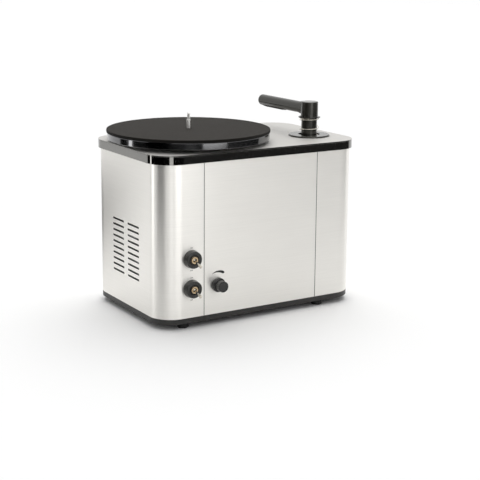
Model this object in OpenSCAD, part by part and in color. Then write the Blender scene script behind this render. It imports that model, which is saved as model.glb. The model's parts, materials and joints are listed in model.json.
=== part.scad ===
// Record cleaning machine with a vacuum arm, a driven platter and a waste tank.
// Millimetres, +Z up, +Y towards the rear, +X to the right seen from the front.
// The origin lies on the floor under the middle of the whole machine's box.

/* [Cabinet] */
// Width over the two side shells
cabinet_w = 411; // [400:1:430]
// Depth over the front and rear panels
cabinet_d = 263; // [258:1:285]
// Height of the shells between base plate and deck
shell_h = 270.2; // [255:0.1:290]
// Outside radius of the upright corners
corner_r = 42; // [36:1:46]
// Thickness of the shells and panels
shell_t = 1.5; // [1:0.1:2]
// Distance that the left shell reaches round onto the front and rear
left_wrap = 84.5; // [83.5:0.5:89.5]
// Distance that the right shell reaches round onto the front and rear
right_wrap = 92; // [87.5:0.5:97.5]
// Open line between a shell and the panel beside it
seam_gap = 1.2; // [0.4:0.1:1.5]
// Thickness of the base plate
base_t = 9.3; // [8:0.1:14]
// Width of the strip behind each seam
strip_w = 22; // [18:1:24]
// Thickness of the strip behind each seam
strip_t = 3; // [2:0.5:4]
// Diameter of the four upright posts
post_d = 12; // [10:0.5:14]
// Distance of a post's axis from the outer faces of the cabinet
post_inset = 25; // [22:0.5:27]

/* [Deck] */
// Distance that the deck stands out over the shells
deck_overhang = 4.5; // [2:0.1:8]
// Thickness of the black deck slab
slab_t = 13.6; // [12:0.1:18]
// Thickness of the brushed top plate
top_plate_t = 2; // [1:0.1:3]

/* [Feet] */
// Diameter of a foot
foot_d = 19.4; // [16:0.2:24]
// Height of a foot
foot_h = 10; // [7:0.5:16]
// Distance of the left feet from the left side
foot_from_left = 50.5; // [40:0.5:60]
// Distance of the right feet from the right side
foot_from_right = 77; // [60:0.5:90]
// Distance of the feet from the front and rear faces
foot_from_front = 14.5; // [14:0.5:20]

/* [Platter] */
// Distance of the platter's axis from the left side
platter_from_left = 127.5; // [124:0.5:131]
// Diameter of the platter
platter_d = 293; // [270:1:300]
// Thickness of the platter
platter_t = 11.8; // [8:0.1:16]
// Gap between deck and platter
platter_gap = 6.5; // [5:0.1:10]
// Diameter of the mat
mat_d = 295; // [280:1:302]
// Thickness of the mat
mat_t = 5.5; // [2:0.1:8]
// Gap between the spindle and the edge of the mat's hole
mat_hole_gap = 1; // [0.8:0.1:2]
// Diameter of the spindle where a record sits on it
spindle_d = 7.2; // [6.8:0.05:7.22]
// Height of that plain part above the mat
spindle_plain_h = 15.7; // [12:0.1:20]
// Diameter of the threaded top
spindle_thread_d = 6; // [5:0.1:6.6]
// Height of the threaded top
spindle_thread_h = 12; // [8:0.5:16]

/* [Drive] */
// Diameter of the platter shaft in its bushes
shaft_d = 12; // [11:0.5:14]
// Running clearance around a shaft, on the radius
run_gap = 0.05; // [0.02:0.01:0.08]
// Outside diameter of the bearing bushes
bush_d = 18; // [17:0.5:20]
// Length of each bearing bush
bush_l = 12; // [10:0.5:14]
// Tooth module of the two gears
gear_module = 1; // [0.9:0.05:1.1]
// Number of teeth on the platter gear
platter_teeth = 72; // [64:4:76]
// Number of teeth on the motor pinion
pinion_teeth = 18; // [16:1:20]
// Width of the platter gear's teeth
gear_w = 8; // [6:0.5:9]
// Play between meshed teeth, along the pitch circle
backlash = 0.35; // [0.25:0.05:0.5]
// Diameter of the platter motor
motor_d = 37; // [32:1:42]
// Length of the platter motor with its reduction head
motor_l = 62; // [45:1:70]

/* [Suction arm] */
// Distance of the suction tube's axis from the right side
tower_from_right = 53.5; // [51:0.5:56]
// Distance of the suction tube's axis from the front
tower_from_front = 82.5; // [80:0.5:86]
// Diameter of the suction tube
tube_d = 29.2; // [27:0.2:30]
// Wall of the suction tube
tube_wall = 2.5; // [2:0.1:3]
// Diameter of the flange on the deck
flange_d = 77; // [70:1:84]
// Thickness of the flange on the deck
flange_t = 3; // [2:0.1:5]
// Outside diameter of the lift spring
spring_d = 36.4; // [35.4:0.1:37.4]
// Wire of the lift spring
spring_wire = 1.5; // [1.2:0.1:1.7]
// Depth of the spring's seat under the top of the deck
spring_seat = 7; // [5:0.5:9]
// Number of open curls in the lift spring
open_curls = 2; // [2:1:3]
// Gap between the spring's end curls
curl_gap = 0.6; // [0.5:0.1:1]
// Clearance of the spring from its seat and its washer
spring_gap = 0.25; // [0.1:0.05:0.4]
// Height of the spring washer over the deck, with the arm up
washer_z = 34; // [32:0.5:36]
// Diameter of the spring washer
washer_d = 40.7; // [39:0.1:43]
// Thickness of the spring washer
washer_t = 1.6; // [1.2:0.1:2]
// Thickness of the clip ring over the washer
clip_t = 1.2; // [1:0.1:1.6]
// Diameter of the elbow cap
cap_d = 32; // [29:0.2:32]
// Height of the elbow cap
cap_h = 26.9; // [26:0.1:32]
// Height of the arm's axis over the lower edge of the elbow cap
arm_rise = 13.2; // [12.6:0.1:14]
// Distance that the arm sinks from its raised place onto a record
arm_lift = 12.4; // [10:0.1:14]
// Diameter of the arm
arm_d = 21.2; // [18:0.2:21.6]
// Wall of the arm
arm_wall = 1.8; // [1.5:0.1:2.5]
// Reach of the arm from the suction tube's axis to its tip
arm_reach = 162; // [150:1:168]
// Diameter of the collar that takes the arm
collar_d = 24.2; // [23:0.1:24.6]
// Reach of the collar from the suction tube's axis
collar_reach = 24; // [21:0.5:30]
// Thickness of the end plug's rim
plug_t = 4.5; // [3:0.5:6]
// Thickness of the velvet pads
pad_t = 1.6; // [1:0.1:2]
// Width of the suction slot
slot_w = 2.4; // [2:0.1:3]
// Length of the suction slot
slot_l = 74; // [60:1:80]

/* [Controls] */
// Distance of the switches from the left front seam
switch_from_seam = 25; // [24:0.5:27]
// Height of the lower switch and the knob over the base plate
controls_h = 52; // [40:0.1:70]
// Distance between the two switches
switch_pitch = 52.5; // [42:0.5:56]
// Diameter of a switch bezel at the panel
bezel_d = 32; // [30:0.5:36]
// Thickness of a switch bezel
bezel_t = 12; // [10:0.5:14]
// Diameter of a switch bushing
bushing_d = 12; // [11:0.1:12.6]
// Bore of a switch bushing
bushing_bore = 7; // [6:0.1:7.6]
// Length of a lever from its pivot to the middle of its tip
lever_l = 23.9; // [18:0.1:26]
// Tilt of a lever to each side of level
lever_tilt = 17; // [10:0.5:18]
// Distance of the knob from the left front seam
knob_from_seam = 27.5; // [24:0.5:40]
// Diameter of the knob's skirt
knob_skirt_d = 24.4; // [22:0.2:30]
// Diameter of the knob's grip
knob_grip_d = 17.2; // [15:0.2:20]
// Distance that the knob stands out from the panel
knob_reach = 20.5; // [18:0.5:26]

/* [Vents] */
// Slots in one column
vent_rows = 10; // [6:1:11]
// Distance between the slots of a column
vent_pitch = 10.5; // [8:0.1:11]
// Length of one slot
vent_l = 43.2; // [36:0.1:48]
// Height of one slot
vent_h = 3.4; // [2.5:0.1:4.5]
// Plain strip between the two columns
vent_split = 15; // [10:0.5:18]
// Height of the lowest slot over the base plate
vent_base_h = 54.9; // [45:0.1:60]
// Middle of the vents, measured towards the front from the middle of the side
vent_shift = 0; // [0:0.1:8]

/* [Waste tank] */
// Width of the tank
tank_w = 96; // [88:1:98]
// Length of the tank from front to rear
tank_l = 172; // [165:1:174]
// Height of the tank
tank_h = 125; // [100:1:130]
// Wall of the tank
tank_wall = 2.5; // [2:0.1:4]
// Thickness of the tank's lid
lid_t = 4; // [3:0.5:6]
// Outside diameter of the two air hoses
hose_d = 36; // [34:0.5:38]
// Wall of the air hoses
hose_wall = 2.5; // [2:0.1:3]
// Radius of the bends in the vacuum hose
hose_bend = 45; // [40:1:48]
// Distance of the vacuum hose's level run under the deck slab
hose_drop = 70; // [66:1:76]
// Diameter of the drain hose
drain_d = 14; // [12:0.5:16]
// Distance that the drain valve stands out from the rear panel
drain_reach = 34; // [30:0.5:40]

/* [Vacuum motor] */
// Distance of the vacuum motor from the left side
blower_from_left = 80.5; // [76:0.5:84]
// Distance of the vacuum motor from the rear
blower_from_rear = 76.5; // [74:0.5:80]
// Diameter of the fan housing
fan_d = 136; // [120:1:138]
// Height of the fan housing
fan_h = 46; // [40:1:52]
// Diameter of the vacuum motor's can
can_d = 96; // [84:1:104]
// Height of the vacuum motor's can
can_h = 68; // [60:1:76]
// Thickness of the rubber mount under the vacuum motor
mount_t = 8; // [6:0.5:12]
// Number of blades on the impeller
blades = 8; // [6:1:12]

/* [Hidden] */
$fn = 96;

// Heights of the layers, from the floor up
base_z = foot_h;
floor_z = base_z + base_t;
slab_z = floor_z + shell_h;
plate_z = slab_z + slab_t;
deck_z = plate_z + top_plate_t;
platter_z = deck_z + platter_gap;
platter_top = platter_z + platter_t;
mat_top = platter_top + mat_t;

// Faces of the cabinet, in its own middle's frame
left = -cabinet_w / 2;
right = cabinet_w / 2;
front = -cabinet_d / 2;
rear = cabinet_d / 2;

// Small gaps and edges
seat_gap = 0.3;
fit_gap = 0.1;
edge = 1;

// Seams, measured from the cabinet's middle
seam_left = -left - left_wrap;
seam_right = right - right_wrap;

// Places of the main groups
platter_x = left + platter_from_left;
tower_x = right - tower_from_right;
tower_y = front + tower_from_front;
switch_x = -seam_left - switch_from_seam;
knob_x = -seam_left + knob_from_seam;
lower_switch_z = floor_z + controls_h;
upper_switch_z = lower_switch_z + switch_pitch;
blower_x = left + blower_from_left;
blower_y = rear - blower_from_rear;
inlet_from_tank_x = 26;
inlet_from_tank_y = 43;
tank_x = tower_x - inlet_from_tank_x;
tank_y = tower_y + inlet_from_tank_y;

// Controls
lever_pivot = 9;
lever_tip_r = 2.6;
lever_reach = lever_pivot + lever_l * cos(lever_tilt) + lever_tip_r;
control_reach = max(lever_reach, knob_reach);

// The machine's box decides where the cabinet's middle lies in the frame
low_x = min(left - deck_overhang, platter_x - mat_d / 2);
high_x = right + deck_overhang;
low_y = min(front - control_reach, -mat_d / 2);
high_y = max(rear + drain_reach, mat_d / 2);
middle = [-(low_x + high_x) / 2, -(low_y + high_y) / 2, 0];

module in_cabinet() {
    translate(middle) children();
}

module on_front(x, z) {
    in_cabinet() translate([x, front, z]) rotate([90, 0, 0]) children();
}

module on_rear(x, z) {
    in_cabinet() translate([x, rear, z]) rotate([-90, 0, 0]) children();
}

module at_platter(z) {
    in_cabinet() translate([platter_x, 0, z]) children();
}

module at_tower(z) {
    in_cabinet() translate([tower_x, tower_y, z]) children();
}

module at_blower(z) {
    in_cabinet() translate([blower_x, blower_y, z]) children();
}

module rounded_outline(w, d, r) {
    square([w - 2 * r, d], center = true);
    square([w, d - 2 * r], center = true);
    for (x = [-1, 1], y = [-1, 1]) translate([x * (w / 2 - r), y * (d / 2 - r)]) circle(r);
}

module rounded_slab(w, d, r, h) {
    linear_extrude(h) rounded_outline(w, d, r);
}

module block(low, high) {
    translate(low) cube(high - low);
}

module ring(outer, inner, h) {
    difference() {
        cylinder(d = outer, h = h);
        translate([0, 0, -1]) cylinder(d = inner, h = h + 2);
    }
}

// Screw with a pan head, head down at z = 0 and its shank upwards
module pan_screw(d, l) {
    translate([0, 0, -d * 0.6]) cylinder(d = 2 * d, h = d * 0.6);
    cylinder(d = d, h = l);
}

// Cabinet

post_x = right - post_inset;
post_y = rear - post_inset;
screw_d = 4;
screw_head = 8;
post_screw_l = 20;
foot_screw_l = base_t - 1;
foot_recess = 4;
foot_taper = 0.6;
feet_x = [left + foot_from_left, right - foot_from_right];
feet_y = [front + foot_from_front, rear - foot_from_front];

module at_posts() {
    for (x = [-post_x, post_x], y = [-post_y, post_y]) in_cabinet() translate([x, y, 0]) children();
}

module at_feet() {
    for (x = feet_x, y = feet_y) in_cabinet() translate([x, y, 0]) children();
}

module base_plate() color("#2b2b2b") difference() {
    in_cabinet() translate([0, 0, base_z]) rounded_slab(cabinet_w, cabinet_d, corner_r, base_t);
    at_posts() {
        translate([0, 0, base_z - 1]) cylinder(d = screw_d + 2 * fit_gap, h = base_t + 2);
        translate([0, 0, base_z - 1]) cylinder(d = screw_head + 2 * seat_gap, h = 1 + screw_d * 0.6 + seat_gap);
    }
    at_feet() translate([0, 0, base_z - 1]) cylinder(d = screw_d, h = foot_screw_l - 1);
}

module feet() color("#1a1a1a") at_feet() difference() {
    rotate_extrude() polygon([
        [0, 0], [foot_d / 2 - edge, 0], [foot_d / 2, edge], [foot_d / 2 - foot_taper, foot_h], [0, foot_h]]);
    translate([0, 0, -1]) cylinder(d = screw_head + 1, h = foot_recess + 1);
    cylinder(d = screw_d + 2 * fit_gap, h = foot_h + 1);
}

module frame_screws() color("#b8b8b8") {
    at_posts() translate([0, 0, base_z + screw_d * 0.6]) pan_screw(screw_d, post_screw_l);
    at_feet() translate([0, 0, foot_recess]) pan_screw(screw_d, foot_h - foot_recess + foot_screw_l - 3);
}

module corner_posts() color("#9a9a9a") at_posts() difference() {
    translate([0, 0, floor_z]) cylinder(d = post_d, h = shell_h);
    translate([0, 0, floor_z - 1]) cylinder(d = screw_d, h = post_screw_l + 1);
}

module shell_ring() {
    difference() {
        rounded_slab(cabinet_w, cabinet_d, corner_r, shell_h);
        translate([0, 0, -1])
            rounded_slab(cabinet_w - 2 * shell_t, cabinet_d - 2 * shell_t, corner_r - shell_t, shell_h + 2);
    }
}

vent_y = -vent_shift;
vent_step = vent_l + vent_split;

module vents() {
    for (row = [0 : vent_rows - 1], column = [-0.5, 0.5])
        translate([left, vent_y + column * vent_step, floor_z + vent_base_h + row * vent_pitch]) {
            cube([4 * shell_t, vent_l - vent_h, vent_h], center = true);
            for (end = [-1, 1]) translate([0, end * (vent_l - vent_h) / 2, 0])
                rotate([0, 90, 0]) cylinder(d = vent_h, h = 4 * shell_t, center = true);
        }
}

module left_shell() color("#d4d2cc") difference() {
    in_cabinet() difference() {
        translate([0, 0, floor_z]) shell_ring();
        block([-seam_left - seam_gap / 2, front - 1, 0], [right + 1, rear + 1, deck_z]);
        vents();
    }
    for (z = [lower_switch_z, upper_switch_z]) on_front(switch_x, z)
        translate([0, 0, -3 * shell_t]) cylinder(d = bushing_d + 2 * fit_gap, h = 6 * shell_t);
}

module right_shell() color("#d4d2cc") in_cabinet() difference() {
    translate([0, 0, floor_z]) shell_ring();
    block([left - 1, front - 1, 0], [seam_right + seam_gap / 2, rear + 1, deck_z]);
}

panel_l = seam_left + seam_right - seam_gap;
panel_x = (seam_right - seam_left) / 2;
pot_bushing_d = 7;

module front_panel() color("#d8d6d0") difference() {
    in_cabinet()
        block([panel_x - panel_l / 2, front, floor_z], [panel_x + panel_l / 2, front + shell_t, slab_z]);
    on_front(knob_x, lower_switch_z)
        translate([0, 0, -3 * shell_t]) cylinder(d = pot_bushing_d + 2 * fit_gap, h = 6 * shell_t);
}

inlet_x = -60;
inlet_rise = 45;
inlet_z = floor_z + inlet_rise;
inlet_w = 27;
inlet_h = 20;
drain_from_side = 14;
drain_rise = 16;
drain_x = tank_x - tank_w / 2 + drain_from_side;
drain_z = floor_z + drain_rise;
drain_neck_d = 13;
strip_rows = [0.12, 0.5, 0.92];

module rear_panel() color("#c9c7c2") difference() {
    in_cabinet()
        block([panel_x - panel_l / 2, rear - shell_t, floor_z], [panel_x + panel_l / 2, rear, slab_z]);
    in_cabinet() translate([inlet_x, rear, inlet_z])
        cube([inlet_w + 2 * fit_gap, 4 * shell_t, inlet_h + 2 * fit_gap], center = true);
    on_rear(drain_x, drain_z) translate([0, 0, -3 * shell_t])
        cylinder(d = drain_neck_d + 2 * fit_gap, h = 6 * shell_t);
    at_panel_screws() translate([0, 0, -1]) cylinder(d = panel_screw_d + 2 * fit_gap, h = 3 * shell_t);
}

panel_screw_d = 3;
panel_screw_l = shell_t + strip_t;

// Screws through the rear panel's edges into the strips, heads outside
module at_panel_screws() {
    for (seam = [-seam_left + strip_w / 4, seam_right - strip_w / 4], part = strip_rows)
        in_cabinet() translate([seam, rear, floor_z + part * shell_h]) rotate([90, 0, 0]) children();
}

module panel_screws() color("#3a3a3a") at_panel_screws() pan_screw(panel_screw_d, panel_screw_l);

module seam_strips() color("#8f8f8f") difference() {
    for (seam = [-seam_left, seam_right]) in_cabinet() {
        block([seam - strip_w / 2, front + shell_t, floor_z],
            [seam + strip_w / 2, front + shell_t + strip_t, slab_z]);
        block([seam - strip_w / 2, rear - shell_t - strip_t, floor_z],
            [seam + strip_w / 2, rear - shell_t, slab_z]);
    }
    at_panel_screws() cylinder(d = panel_screw_d, h = panel_screw_l + 1);
}

// Deck

sleeve_wall = 7;
sleeve_d = bush_d + 2 * sleeve_wall;
guide_d = 46;

module deck_cut() {
    at_platter(slab_z - 1) cylinder(d = sleeve_d + 2 * seat_gap, h = slab_t + top_plate_t + 2);
    at_tower(slab_z - 1) cylinder(d = guide_d + 2 * fit_gap, h = slab_t + top_plate_t + 2);
}

module deck_slab() color("#161616") difference() {
    in_cabinet() translate([0, 0, slab_z])
        rounded_slab(cabinet_w + 2 * deck_overhang, cabinet_d + 2 * deck_overhang,
            corner_r + deck_overhang, slab_t);
    deck_cut();
    at_bearing_screws() cylinder(d = drive_screw_d, h = bearing_flange_t + drive_screw_bite);
    at_spacers(slab_z) cylinder(d = drive_screw_d, h = drive_screw_bite);
    at_guide_screws() cylinder(d = drive_screw_d + 2 * fit_gap, h = guide_screw_l);
}

module top_plate() color("#d2d0ca") difference() {
    in_cabinet() translate([0, 0, plate_z]) rounded_slab(
        cabinet_w + 2 * deck_overhang, cabinet_d + 2 * deck_overhang, corner_r + deck_overhang, top_plate_t);
    deck_cut();
    at_guide_screws() cylinder(d = drive_screw_d + 2 * fit_gap, h = guide_screw_l);
}

// Platter bearing and drive

bearing_stand = 2;
bearing_flange_d = 72;
bearing_flange_t = 5;
bearing_below = 14;
housing_top = deck_z + bearing_stand;
housing_low = slab_z - bearing_below;
bush_lip = 0.5;
drive_screw_d = 4;
drive_screw_bite = 9;
bearing_circle = 56;

module at_bearing_screws() {
    for (turn = [45 : 90 : 315]) at_platter(slab_z - bearing_flange_t) rotate(turn)
        translate([bearing_circle / 2, 0, 0]) children();
}

module bearing_housing() color("#a9a9a9") difference() {
    union() {
        at_platter(slab_z - bearing_flange_t) cylinder(d = bearing_flange_d, h = bearing_flange_t);
        at_platter(housing_low) cylinder(d = sleeve_d, h = housing_top - housing_low);
    }
    at_platter(housing_low - 1) cylinder(d = bush_d, h = housing_top - housing_low + 2);
    at_bearing_screws() translate([0, 0, -1]) cylinder(d = drive_screw_d + 2 * fit_gap, h = bearing_flange_t + 2);
}

module bearing_bushes() color("#b08d4a") {
    at_platter(housing_top - bush_l) ring(bush_d, shaft_d + 2 * run_gap, bush_l + bush_lip);
    at_platter(housing_low) ring(bush_d, shaft_d + 2 * run_gap, bush_l);
}

gear_distance = gear_module * (platter_teeth + pinion_teeth) / 2;
drive_drop = 39;
drive_plate_t = 3;
drive_plate_z = slab_z - drive_drop - drive_plate_t;
gear_stand = 7;
gear_z = drive_plate_z + drive_plate_t + gear_stand;
gear_boss_wall = 6;
gear_boss_h = 5;
shaft_low = gear_z - gear_boss_h;
spacer_d = 10;
spacer_side_room = 7;
spacer_rear_room = 3;
spacer_tuck = 2;
spacer_x = bearing_flange_d / 2 + spacer_side_room;
spacer_front = gear_distance + motor_d / 2 - spacer_tuck;
spacer_rear = bearing_flange_d / 2 + spacer_rear_room;
plate_edge = 8;

module at_spacers(z) {
    for (x = [-spacer_x, spacer_x], y = [-spacer_front, spacer_rear])
        at_platter(z) translate([x, y, 0]) children();
}

module at_motor(z) {
    at_platter(z) translate([0, -gear_distance, 0]) children();
}

motor_circle = 31;
motor_boss_d = 12;
motor_screw_d = 3;
motor_screw_bite = 4;

module at_motor_screws(z) {
    for (turn = [0 : 90 : 270]) at_motor(z) rotate(turn) translate([motor_circle / 2, 0, 0]) children();
}

module drive_plate() color("#b5b5b5") difference() {
    at_platter(drive_plate_z) translate([-spacer_x - plate_edge, -spacer_front - plate_edge, 0])
        cube([2 * (spacer_x + plate_edge), spacer_front + spacer_rear + 2 * plate_edge, drive_plate_t]);
    at_motor(drive_plate_z - 1) cylinder(d = motor_boss_d + 2 * fit_gap, h = drive_plate_t + 2);
    at_motor_screws(drive_plate_z - 1) cylinder(d = motor_screw_d + 2 * fit_gap, h = drive_plate_t + 2);
    at_spacers(drive_plate_z - 1) cylinder(d = drive_screw_d + 2 * fit_gap, h = drive_plate_t + 2);
}

module drive_spacers() color("#c4c4c4")
    at_spacers(drive_plate_z + drive_plate_t) ring(spacer_d, drive_screw_d + 2 * fit_gap, drive_drop);

module drive_screws() color("#8c8c8c") {
    at_spacers(drive_plate_z) pan_screw(drive_screw_d, drive_plate_t + drive_drop + drive_screw_bite);
    at_bearing_screws() pan_screw(drive_screw_d, bearing_flange_t + drive_screw_bite);
    at_motor_screws(drive_plate_z + drive_plate_t) rotate([180, 0, 0])
        pan_screw(motor_screw_d, drive_plate_t + motor_screw_bite);
}

motor_shaft_d = 6;
motor_low = drive_plate_z - motor_l;
head_l = 24;
motor_step = 1;

module drive_motor() color("#9d9d9d") difference() {
    union() {
        at_motor(drive_plate_z - head_l) cylinder(d = motor_d, h = head_l);
        at_motor(motor_low) cylinder(d = motor_d - 2 * motor_step, h = motor_l - head_l);
        at_motor(drive_plate_z) cylinder(d = motor_boss_d, h = drive_plate_t + 1);
    }
    at_motor(drive_plate_z - head_l / 2) cylinder(d = motor_shaft_d + 2 * run_gap, h = head_l);
    at_motor_screws(drive_plate_z - motor_screw_bite) cylinder(d = motor_screw_d, h = motor_screw_bite + 1);
}

// Spur gear outline: straight flanks close to an involute, thinned by half the play.
// The pitch circle's tooth is centred on angle zero.
function degrees_along(r, arc) = arc / r * 180 / PI;
function tooth(m, n, play) = let (
    rp = m * n / 2,
    half = 90 / n - degrees_along(rp, play / 4))
    [[rp - 1.25 * m, half + degrees_along(rp, 1.25 * m * tan(20))],
     [rp, half],
     [rp + m, half - degrees_along(rp, m * tan(20))]];

module gear_outline(m, n, play) {
    flank = tooth(m, n, play);
    polygon([for (i = [0 : n - 1]) let (mid = i * 360 / n)
        each concat([for (p = flank) p[0] * [cos(mid - p[1]), sin(mid - p[1])]],
                    [for (k = [2 : -1 : 0]) flank[k][0] * [cos(mid + flank[k][1]), sin(mid + flank[k][1])]])]);
}

module platter_gear() color("#e6e2d6") at_platter(gear_z) difference() {
    union() {
        rotate(-90) linear_extrude(gear_w) gear_outline(gear_module, platter_teeth, backlash);
        translate([0, 0, -gear_boss_h]) cylinder(d = shaft_d + 2 * gear_boss_wall, h = gear_boss_h + 1);
    }
    translate([0, 0, -gear_boss_h - 1]) cylinder(d = shaft_d, h = gear_w + gear_boss_h + 2);
}

module drive_pinion() color("#c9a45a") at_motor(0) {
    translate([0, 0, gear_z - 1]) rotate(90 + 180 / pinion_teeth)
        linear_extrude(gear_w + 2) gear_outline(gear_module, pinion_teeth, backlash);
    translate([0, 0, drive_plate_z - head_l / 2 + seat_gap])
        cylinder(d = motor_shaft_d, h = gear_z + gear_w + 1 - drive_plate_z + head_l / 2);
}

hub_low = housing_top + bush_lip + seat_gap;
hub_d = 84;
hub_circle = 64;
hub_screw_l = 10;

module spindle() color("#cfcfcf") {
    at_platter(shaft_low) cylinder(d = shaft_d, h = platter_top - shaft_low);
    at_platter(platter_top - 1) cylinder(d = spindle_d, h = mat_t + spindle_plain_h + 1 - edge / 2);
    at_platter(mat_top + spindle_plain_h - edge / 2)
        cylinder(d1 = spindle_d, d2 = spindle_d - edge, h = edge / 2);
    at_platter(mat_top + spindle_plain_h - 1) cylinder(d = spindle_thread_d, h = spindle_thread_h + 1 - edge / 2);
    at_platter(mat_top + spindle_plain_h + spindle_thread_h - edge / 2)
        cylinder(d1 = spindle_thread_d, d2 = spindle_thread_d - edge, h = edge / 2);
}

module at_hub_screws(z) {
    for (turn = [0 : 90 : 270]) at_platter(z) rotate(turn) translate([hub_circle / 2, 0, 0]) children();
}

// Countersunk head down at z = 0
module flat_screw(d, l) {
    cylinder(d1 = 2 * d, d2 = d, h = d / 2);
    cylinder(d = d, h = l);
}

module drive_hub() color("#b0b0b0") difference() {
    at_platter(hub_low) cylinder(d = hub_d, h = platter_z - hub_low);
    at_platter(hub_low - 1) cylinder(d = shaft_d, h = platter_gap + 2);
    at_hub_screws(hub_low) {
        translate([0, 0, -0.01])
            cylinder(d1 = 2 * drive_screw_d + 0.02, d2 = drive_screw_d, h = drive_screw_d / 2 + 0.01);
        translate([0, 0, -1]) cylinder(d = drive_screw_d, h = platter_gap + 2);
    }
}

module hub_screws() color("#7d7d7d") at_hub_screws(hub_low) flat_screw(drive_screw_d, hub_screw_l);

platter_rim = 3;

module platter() color("#121212") difference() {
    at_platter(platter_z) rotate_extrude() polygon([
        [shaft_d / 2, 0], [platter_d / 2 - platter_rim, 0], [platter_d / 2, platter_rim * 0.6],
        [platter_d / 2, platter_t - edge], [platter_d / 2 - edge, platter_t], [shaft_d / 2, platter_t]]);
    at_hub_screws(platter_z - 1) cylinder(d = drive_screw_d, h = hub_screw_l - (platter_z - hub_low) + 1);
}

module platter_mat() color("#474440") at_platter(platter_top) rotate_extrude() polygon([
    [spindle_d / 2 + mat_hole_gap, 0], [mat_d / 2 - edge, 0], [mat_d / 2, edge],
    [mat_d / 2, mat_t - edge], [mat_d / 2 - edge, mat_t], [spindle_d / 2 + mat_hole_gap, mat_t]]);

// Suction arm

guide_bore = tube_d + 2 * run_gap;
recess_d = 40;
guide_shoulder = 33.5;
tube_tail = 12;
tube_low = guide_shoulder + tube_tail;
chamber_d = 36;
chamber_room = 9.6;
chamber_low = tube_low + arm_lift + chamber_room;
guide_wall_t = 4;
guide_flange_d = 68;
guide_flange_t = 4;
guide_circle = 58;
nozzle_d = hose_d - 2 * hose_wall;
nozzle_l = 18;
nozzle_wall = 2;
seat_z = deck_z - spring_seat;
shoulder_z = deck_z - guide_shoulder;
chamber_z = deck_z - chamber_low;
guide_screw_short = 0.8;
guide_screw_l = guide_flange_t + slab_t + top_plate_t + flange_t - guide_screw_short;

module at_guide_screws() {
    for (turn = [30 : 120 : 270]) at_tower(slab_z - guide_flange_t) rotate(turn)
        translate([guide_circle / 2, 0, 0]) children();
}

module arm_flange() color("#1b1b1b") difference() {
    at_tower(deck_z) rotate_extrude() polygon([
        [recess_d / 2, 0], [flange_d / 2, 0], [flange_d / 2, flange_t - edge],
        [flange_d / 2 - edge, flange_t], [recess_d / 2, flange_t]]);
    at_guide_screws() cylinder(d = drive_screw_d, h = guide_screw_l);
}

seal_wire = 2.6;
seal_places = [6, 14];

module guide_tube() color("#4a4a4a") difference() {
    union() {
        at_tower(chamber_z - guide_wall_t) cylinder(d = guide_d, h = deck_z - chamber_z + guide_wall_t);
        at_tower(slab_z - guide_flange_t) cylinder(d = guide_flange_d, h = guide_flange_t);
        at_tower(chamber_z - guide_wall_t - nozzle_l) cylinder(d = nozzle_d, h = nozzle_l + 1);
    }
    at_tower(seat_z) cylinder(d = recess_d, h = spring_seat + 1);
    at_tower(chamber_z) cylinder(d = guide_bore, h = chamber_low);
    at_tower(chamber_z) cylinder(d = chamber_d, h = shoulder_z - chamber_z);
    at_tower(chamber_z - guide_wall_t - nozzle_l - 1)
        cylinder(d = nozzle_d - 2 * nozzle_wall, h = nozzle_l + guide_wall_t + 2);
    at_tower(shoulder_z) for (z = seal_places) translate([0, 0, z - seal_wire / 2 - fit_gap])
        cylinder(d = guide_bore + 2 * seal_wire + 2 * fit_gap, h = seal_wire + 2 * fit_gap);
    at_guide_screws() translate([0, 0, -1]) cylinder(d = drive_screw_d + 2 * fit_gap, h = guide_flange_t + 2);
}

module guide_screws() color("#8c8c8c") at_guide_screws() pan_screw(drive_screw_d, guide_screw_l);

module guide_seals() color("#202020") at_tower(shoulder_z) for (z = seal_places)
    translate([0, 0, z]) rotate_extrude() translate([(guide_bore + seal_wire) / 2, 0]) circle(d = seal_wire);

// Lift spring: a closed curl at each end and open curls between, which rise at the far side.
// The wire is one tube of six sides with eight rings to a curl.
curl_rings = 8;
wire_sides = 6;
spring_front = 235;
end_rise = spring_wire + curl_gap;
open_rise = (washer_z + spring_seat - 2 * spring_gap - spring_wire - 2 * end_rise) / open_curls;
coil_r = (spring_d - spring_wire) / 2;
curls = open_curls + 2;

function coil_z(t) = spring_gap + spring_wire / 2 + (
    t < 1 ? end_rise * t :
    t > 1 + open_curls ? end_rise * (t - open_curls) + open_rise * open_curls :
    end_rise + open_rise * (t - 1) - (open_rise - end_rise) / 2 / PI * sin(360 * (t - 1)));
function coil_point(t) = [coil_r * cos(spring_front + 360 * t), coil_r * sin(spring_front + 360 * t), coil_z(t)];
function unit(v) = v / norm(v);

coil_mid = [for (i = [0 : curls * curl_rings]) coil_point(i / curl_rings)];
coil_last = len(coil_mid) - 1;
function flat_side(v) = unit([v[1], -v[0], 0]);
coil_line = concat(
    [coil_mid[0] + spring_wire * flat_side(coil_mid[0])],
    coil_mid,
    [coil_mid[coil_last] - spring_wire * flat_side(coil_mid[coil_last])]);
function coil_heading(i) = unit(coil_line[min(i + 1, coil_last + 2)] - coil_line[max(i - 1, 0)]);
coil_ring_points = [for (i = [0 : coil_last + 2]) let (
    h = coil_heading(i),
    side = unit(cross(h, [0, 0, 1])),
    up = cross(side, h))
    for (k = [0 : wire_sides - 1])
        coil_line[i] + spring_wire / 2 * (cos(k * 60 + 30) * side + sin(k * 60 + 30) * up)];
coil_faces = concat(
    [[for (k = [0 : wire_sides - 1]) k]],
    [for (i = [0 : coil_last + 1], k = [0 : wire_sides - 1]) let (
        a = i * wire_sides + k,
        b = i * wire_sides + (k + 1) % wire_sides)
        each [[a, a + wire_sides, b], [b, a + wire_sides, b + wire_sides]]],
    [[for (k = [wire_sides - 1 : -1 : 0]) (coil_last + 2) * wire_sides + k]]);

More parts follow.
